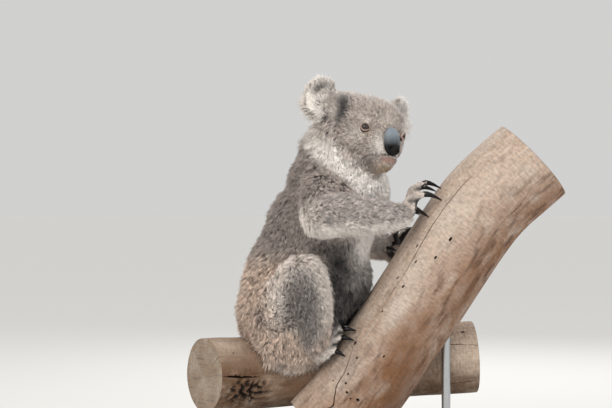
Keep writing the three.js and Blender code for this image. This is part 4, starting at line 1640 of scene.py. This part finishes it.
def blots(reach, angle, places):
    """The strongest of some soft-edged spots on the round of a log."""
    found = np.zeros(len(reach))
    for along, degrees, long, wide, strength in places:
        across = (np.degrees(angle) - degrees + 180) % 360 - 180
        found = np.maximum(found, strength * np.exp(-((reach - along) / long) ** 2 - (across / wide) ** 2))
    return found


def wooden_piece(name, node, wood, grid, cracks, holes, stains, worn, seed):
    """The finished form of one length of wood; grid is its count of points along and round."""
    points, faces = wood_grid(wood, *grid)
    piece = mesh_piece(name, from_koala(points), faces)
    outward_mesh(piece)
    wedges = [crack_wedge(wood, *crack) for crack in cracks]
    cones = [borer_hole(wood, *hole) for hole in holes]
    splits = end_splits(wood, True, seed) + end_splits(wood, False, seed + 1)
    cut(piece, [("cones", cones)] + [("wedge", [form]) for form in wedges + splits])
    place, below = wood.straight(to_koala(read_points(piece.data)))
    x, y, reach = place.T
    angle = np.arctan2(y, x)
    from_end = np.minimum(reach, wood.reach[-1] - reach) + END_BULGE
    give(piece, "grain", place)
    give(piece, "stain", blots(reach, angle, stains))
    give(piece, "worn", blots(reach, angle, worn))
    # How far a point lies down in a crack, hole or split, for the painted shade there.
    give(piece, "below", np.clip(np.minimum(below, from_end + 1.2) / 3 - 0.9, 0, 1))
    piece.data.shade_smooth()
    piece.data.set_sharp_from_angle(angle=math.radians(40))
    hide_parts(node)
    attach(piece, "root")
    print(name, len(piece.data.polygons), "faces")
    return piece


wooden = [
    wooden_piece("limb_wood", "perch_limb", limb, (220, 150),
                 LIMB_CRACKS, LIMB_HOLES, LIMB_STAINS_AND_SHADE, LIMB_WORN, 3),
    wooden_piece("log_wood", "perch_log", log, (200, 130),
                 LOG_CRACKS, LOG_HOLES, LOG_STAINS_AND_SHADE, LOG_WORN, 5),
]

# %% [markdown]
# ## The wood's finish
# Bare eucalypt goes silver in the weather and stays brown below. Its streaks, fibres, patches and grime are
# all noise stretched along the grain, each from the width and length of its marks. The sawn ends show rings
# and saw marks. Inside a crack or a hole the wood is painted dark, as shade.

# %% Wood patterns
PATTERNS = {  # width and length of the marks in mm, and how many layers of detail
    "streaks": (5, 80, 4), "fibres": (5 / 3, 30, 2), "ripples": (9, 4, 5),
    "patches": (42, 85, 4), "flakes": (24, 34, 3), "grime": (13, 40, 6),
}
RING_GAP = 2.99
SAW_MARK_LONG, SAW_MARK_WIDE = 50, 3.4


def stretched(tree, grain, scales, detail):
    """A noise texture whose marks are stretched by a scale for each axis."""
    place = add(tree, "VectorMath", MULTIPLY, grain, scales)
    return add(tree, "TexNoise", Vector=place, Scale=1.0, Detail=detail)


def weathered_side(tree, y, z, pattern, silver, tan, brown, stain):
    """Wood in the weather: silver above and brown below, with grime, stains, painted shade and worn places.
    """
    tone = add(tree, "MapRange", None, pattern["streaks"], 0.2, 0.8)
    colour = add(tree, "Mix", COLOURS, tone, linear(tan), linear(silver))
    # y points to the upper side; the patches fray the border between silver and brown.
    upper = add(tree, "Math", ADD, y, add(tree, "Math", MULTIPLY, pattern["patches"], 90.0))
    upper = add(tree, "Math", ADD, upper, add(tree, "Math", MULTIPLY, z, 0.16))
    browner = add(tree, "Math", MULTIPLY,
                  add(tree, "MapRange", None, pattern["patches"], 0.35, 0.62, 0.6, 1.0),
                  add(tree, "MapRange", None, upper, 65.0, 150.0, 1.0, 0.1))
    colour = add(tree, "Mix", COLOURS, browner, colour, linear(brown))
    flaked = add(tree, "MapRange", None, pattern["flakes"], 0.5, 0.8, 0.0, 0.6)
    colour = add(tree, "Mix", COLOURS, flaked, colour, linear(silver))
    # Grime lies in blotches along the grain, mostly on the browner side.
    grime = add(tree, "MapRange", None, pattern["grime"], 0.5, 0.68, 0.0, 0.9)
    grime = add(tree, "Math", MULTIPLY, grime, add(tree, "Math", ADD, browner, 0.15))
    colour = add(tree, "Mix", COLOURS, grime, colour, linear("#5c4435"))
    # Stains and painted shade, frayed at their edges, and places worn smooth and pale.
    frayed = add(tree, "MapRange", None, pattern["ripples"], 0.3, 0.7, 0.6, 1.3)
    frayed = add(tree, "Math", MULTIPLY, "stain", frayed)
    colour = add(tree, "Mix", COLOURS, frayed, colour, linear(stain))
    colour = add(tree, "Mix", COLOURS, "worn", colour, linear(silver))
    shade = add(tree, "Math", MULTIPLY,
                add(tree, "MapRange", None, pattern["fibres"], 0.3, 0.7, 0.92, 1.07),
                add(tree, "MapRange", None, pattern["ripples"], 0.3, 0.7, 0.76, 1.2))
    return dimmed(tree, colour, shade)


def sawn_end(tree, grain, x, y, pattern):
    """End grain: rings about the pith under saw marks, bleached patches and grey streaks."""
    squared = add(tree, "Math", ADD, add(tree, "Math", MULTIPLY, x, x), add(tree, "Math", MULTIPLY, y, y))
    from_pith = add(tree, "Math", ADD, add(tree, "Math", {"operation": "SQRT"}, squared),
                    add(tree, "Math", MULTIPLY, pattern["flakes"], 9.0))
    turns = add(tree, "Math", MULTIPLY, from_pith, 2 * math.pi / RING_GAP)
    rings = add(tree, "MapRange", None, add(tree, "Math", {"operation": "SINE"}, turns), -1.0, 1.0)
    colour = add(tree, "Mix", COLOURS, rings, linear("#7d6550"), linear("#a68e76"))
    saw_marks = stretched(tree, grain, (1 / SAW_MARK_LONG, 1 / SAW_MARK_WIDE, 0.0), 4)
    for marks, low, high, share, layer in (
        (saw_marks, 0.47, 0.36, 0.75, "#4a3b31"),
        (pattern["patches"], 0.45, 0.6, 0.6, "#b8a999"),
        (pattern["streaks"], 0.35, 0.65, 0.8, "#857a6f"),
    ):
        laid = add(tree, "MapRange", None, marks, low, high, 0.0, share)
        colour = add(tree, "Mix", COLOURS, laid, colour, linear(layer))
    return colour


# %% Weathered wood


def wood_material(name, wood, **colours):
    """Bare weathered eucalypt; the vector attribute grain is the place in the straight log in mm."""
    material, tree, shader = blank(name)
    grain = add(tree, "Attribute", {"attribute_name": "grain"}, out="Vector")
    x, y, z = add(tree, "SeparateXYZ", None, grain).node.outputs
    pattern = {key: stretched(tree, grain, (1 / wide, 1 / wide, 1 / long), detail)
               for key, (wide, long, detail) in PATTERNS.items()}
    at_end = add(tree, "Math", ADD, add(tree, "Math", {"operation": "LESS_THAN"}, z, 0.0),
                 add(tree, "Math", {"operation": "GREATER_THAN"}, z, float(wood.reach[-1])))
    colour = add(tree, "Mix", COLOURS, at_end, weathered_side(tree, y, z, pattern, **colours),
                 sawn_end(tree, grain, x, y, pattern))
    # Painted shade: dark inside cracks, holes and splits.
    colour = add(tree, "Mix", COLOURS, "below", colour, linear("#241811"))
    height = add(tree, "Math", ADD, add(tree, "Math", MULTIPLY, pattern["fibres"], 0.5),
                 add(tree, "Math", MULTIPLY, pattern["ripples"], 0.7))
    height = add(tree, "Math", ADD, height, add(tree, "Math", MULTIPLY, pattern["streaks"], 0.6))
    surface(shader, Base_Color=colour, Roughness=0.78, Specular_IOR_Level=0.3,
            Normal=add(tree, "Bump", Height=height, Distance=3.5 * MM, Strength=0.8))
    return material


# The stain colour paints both stains and shade.
finish([wooden[0]], wood_material(
    "weathered_limb_bare", limb, silver="#cdbfb3", tan="#bba18d", brown="#855f43", stain="#7a553a"))
finish([wooden[1]], wood_material(
    "weathered_log_bare", log, silver="#cbb9a8", tan="#b39a83", brown="#6f543f", stain="#6a4e39"))
print("wood", [piece.name for piece in wooden], "growth rings", RING_GAP, "mm apart")

# %% [markdown]
# ## The display stand
# A flat painted base with rounded corners, as a museum uses. It is one outline stacked up: a
# small rounding at its lower and upper edge catches the light, as sanded board does.

# %% Base
BASE_LONG, BASE_WIDE, BASE_THICK, BASE_CORNER = 500, 330, 20, 40
EDGE_ROUND = 2.2


def stacked(outlines):
    """A closed form from equal outlines one above the other, with flat fans at both ends."""
    rings = np.array(outlines, float)
    return closed(rings, [rings[0].mean(0), rings[-1].mean(0)])


def stand_part(name, node, points, faces, slot):
    """One piece of the stand, with crisp edges."""
    piece = mesh_piece(name, from_koala(points), faces)
    piece.data.set_sharp_from_angle(angle=math.radians(35))
    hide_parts(node)
    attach(piece, "root")
    return piece


def base_outline(inset, z):
    """The base's outline at one height: four straight sides and four round corners."""
    outline = []
    for k, (sx, sy) in enumerate(((1, 1), (-1, 1), (-1, -1), (1, -1))):
        for a in np.linspace(k * math.pi / 2, (k + 1) * math.pi / 2, 14):
            x = sx * (BASE_LONG / 2 - BASE_CORNER) + (BASE_CORNER - inset) * math.cos(a)
            y = sy * (BASE_WIDE / 2 - BASE_CORNER) + (BASE_CORNER - inset) * math.sin(a)
            outline.append((BASE_MIDDLE_X + x, y, z))
    return outline


round_edge = [(EDGE_ROUND * (1 - math.sin(a)), EDGE_ROUND * (1 - math.cos(a)))
              for a in np.linspace(0, math.pi / 2, 5)]
base_bottom = BASE_TOP_Z - BASE_THICK
outlines = [base_outline(inset, base_bottom + rise) for inset, rise in round_edge]
outlines += [base_outline(inset, BASE_TOP_Z - rise) for inset, rise in round_edge[::-1]]
base = stand_part("base_board", "stand_base", *stacked(outlines), "stand_board")
print("base", [round(v / MM, 1) for v in base.dimensions], "mm")

# %% [markdown]
# ## Rods
# Two short steel rods carry the wood. Each has a round foot held by three screws, and its top is
# cut to the slope of the wood above it: a ray goes up from each of its points to find the wood.

# %% Rods
ROD_RADIUS, FOOT_RADIUS, FOOT_THICK = 8, 24, 6
FOOT_LIFT = 0.3
SCREW_COUNT, SCREW_RING = 3, 16
SCREW_PROFILE = [(3.4, -0.5), (3.4, 0.5), (2.6, 1.3), (1.5, 1.4), (1.4, 0.4)]  # radius, height


def circle(x, y, z, radius, around=48):
    angles = np.linspace(0, 2 * math.pi, around, endpoint=False)
    return [(x + radius * math.cos(a), y + radius * math.sin(a), z) for a in angles]


def rod(name, node, x, y, wood):
    """A rod that meets the slope of the wood above it, with a screwed foot."""
    tree = BVHTree.FromPolygons(read_points(wood.data).tolist(), [p.vertices[:] for p in wood.data.polygons])
    foot = BASE_TOP_Z + FOOT_LIFT
    top = []
    for px, py, pz in circle(x, y, foot + 20, ROD_RADIUS):
        hit = tree.ray_cast(Vector(from_koala((px, py, pz))), Vector((0, 0, 1)))[0]
        top.append((px, py, to_koala(hit)[2] + 0.5))
    forms = [stacked([
        circle(x, y, foot, FOOT_RADIUS), circle(x, y, foot + FOOT_THICK - 1, FOOT_RADIUS),
        circle(x, y, foot + FOOT_THICK, FOOT_RADIUS - 1), circle(x, y, foot + FOOT_THICK, ROD_RADIUS), top])]
    for k in range(SCREW_COUNT):
        a = 0.4 + k * 2 * math.pi / SCREW_COUNT
        sx, sy = x + SCREW_RING * math.cos(a), y + SCREW_RING * math.sin(a)
        forms.append(stacked([circle(sx, sy, foot + FOOT_THICK + h, r, 16) for r, h in SCREW_PROFILE]))
    return stand_part(name, node, *joined(forms), "stand_rod")


rods = [
    rod("rod_limb", "stand_rod_limb", 226, -8, wooden[0]),
    rod("rod_log", "stand_rod_log", -142, -18, wooden[1]),
]
for piece in rods:
    print(piece.name, "height", round(piece.dimensions[2] / MM), "mm")


# %% [markdown]
# ## The stand's finishes
# Satin paint rolled on board leaves a fine orange-peel skin, a little more worn in places. The
# rods are stainless steel, brushed round their axis as a bar is turned.

# %% Paint and steel


def painted_board():
    """Satin paint rolled on board: an even colour with a fine orange-peel skin."""
    material, tree, shader = blank("stand_paint_satin")
    place = add(tree, "TexCoord", out="Object")
    # Orange peel 1.4 mm across, and wear in clouds 110 mm across
    peel = add(tree, "TexNoise", Vector=place, Scale=per_metre(1.4286), Detail=2.0)
    worn = add(tree, "TexNoise", Vector=place, Scale=per_metre(111.1), Detail=4.0)
    clouds = add(tree, "MapRange", None, worn, 0.4, 0.7)
    surface(shader, Base_Color=add(tree, "Mix", COLOURS, clouds, linear("#4b4a48"), linear("#53514e")),
            Roughness=add(tree, "MapRange", None, worn, 0.3, 0.7, 0.42, 0.52),
            Normal=add(tree, "Bump", Height=peel, Distance=0.2 * MM, Strength=0.25))
    return material


def brushed_steel():
    """Stainless steel bar brushed round its axis."""
    material, tree, shader = blank("stand_steel_brushed")
    place = add(tree, "TexCoord", out="Object")
    # Brush lines 0.4 mm wide and 17 mm long
    lines = stretched(tree, place, (per_metre(16.67), per_metre(16.67), per_metre(0.3846)), 2)
    surface(shader, Base_Color=add(tree, "Mix", COLOURS, lines, linear("#a9abad"), linear("#c4c6c8")),
            Roughness=add(tree, "MapRange", None, lines, 0.3, 0.7, 0.24, 0.4), Metallic=1.0,
            Normal=add(tree, "Bump", Height=lines, Distance=0.1 * MM, Strength=0.3))
    return material


finish([base], painted_board())
finish(rods, brushed_steel())
print("stand", [piece.name for piece in (base, *rods)])

# %% [markdown]
# ## Stage
# A pale floor that reaches far past the model, as a studio's paper sweep does. It isn't part of the model,
# so it is marked as backdrop and left out of the size.

# %% Stage
FLOOR_REACH = 60
corners = [(-1, -1, 0), (1, -1, 0), (1, 1, 0), (-1, 1, 0)]
floor = mesh_piece("floor", np.array(corners) * FLOOR_REACH, [(0, 1, 2, 3)])
floor_finish, _, floor_shader = blank("studio_floor_matt")
surface(floor_shader, Base_Color=linear("#e6e5e2"), Roughness=0.95)
finish([floor], floor_finish)
floor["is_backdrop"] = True

print("floor", 2 * FLOOR_REACH, "m wide")

# %% [markdown]
# ## Light
# A pale sky lights everything softly. A broad soft lamp high at the front left gives the form its
# shade, a weaker one from the right and a low one from behind keep the far side readable.

# %% Sky and lamps
SKY_LIGHT = 0.85
FLOOR_SHARE = 0.8  # of the sky's light comes back from the far floor, so the sky is drawn as bright
world = bpy.data.worlds.new("studio")
bpy.context.scene.world = world
world.use_nodes = True
sky = world.node_tree
seen = add(sky, "LightPath", out="Is Camera Ray")
strength = add(sky, "MapRange", None, seen, 0.0, 1.0, SKY_LIGHT, SKY_LIGHT * FLOOR_SHARE)
surface(sky.nodes["Background"], Color=linear("#f7f7f6"), Strength=strength)


def lamp(name, place, aim, size, watts, colour="#ffffff"):
    """A square lamp, its size in metres, at one place and aimed at another."""
    light = bpy.data.lights.new(name, "AREA")
    light.energy = watts
    light.size = size
    light.color = linear(colour)[:3]
    holder = bpy.data.objects.new(name, light)
    holder.location = from_koala(place)
    toward = Vector(from_koala(aim)) - holder.location
    holder.rotation_euler = toward.to_track_quat("-Z", "Y").to_euler()
    bpy.context.collection.objects.link(holder)


CENTRE = (60, 0, 220)
lamp("key", (-900, -1900, 1500), CENTRE, 1.6, 30, "#fffaf2")
lamp("fill", (1700, -1500, 900), CENTRE, 1.6, 8, "#f4f8ff")
lamp("back", (600, 1900, 1500), CENTRE, 1.4, 16)
print("lamps", len(bpy.data.lights), "sky", SKY_LIGHT)

# %% [markdown]
# ## Size
# The coat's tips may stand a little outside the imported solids, and this keeps both boxes to
# compare.

# %% Size and finish
low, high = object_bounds()
boxes = {"cad_low": cad_low, "cad_high": cad_high, "visual_low": low, "visual_high": high}
boxes = {name: [float(value) for value in corner] for name, corner in boxes.items()}
print("packed", [round(h - l, 3) for l, h in zip(cad_low, cad_high)],
      "with coat", [round(h - l, 3) for l, h in zip(low, high)])
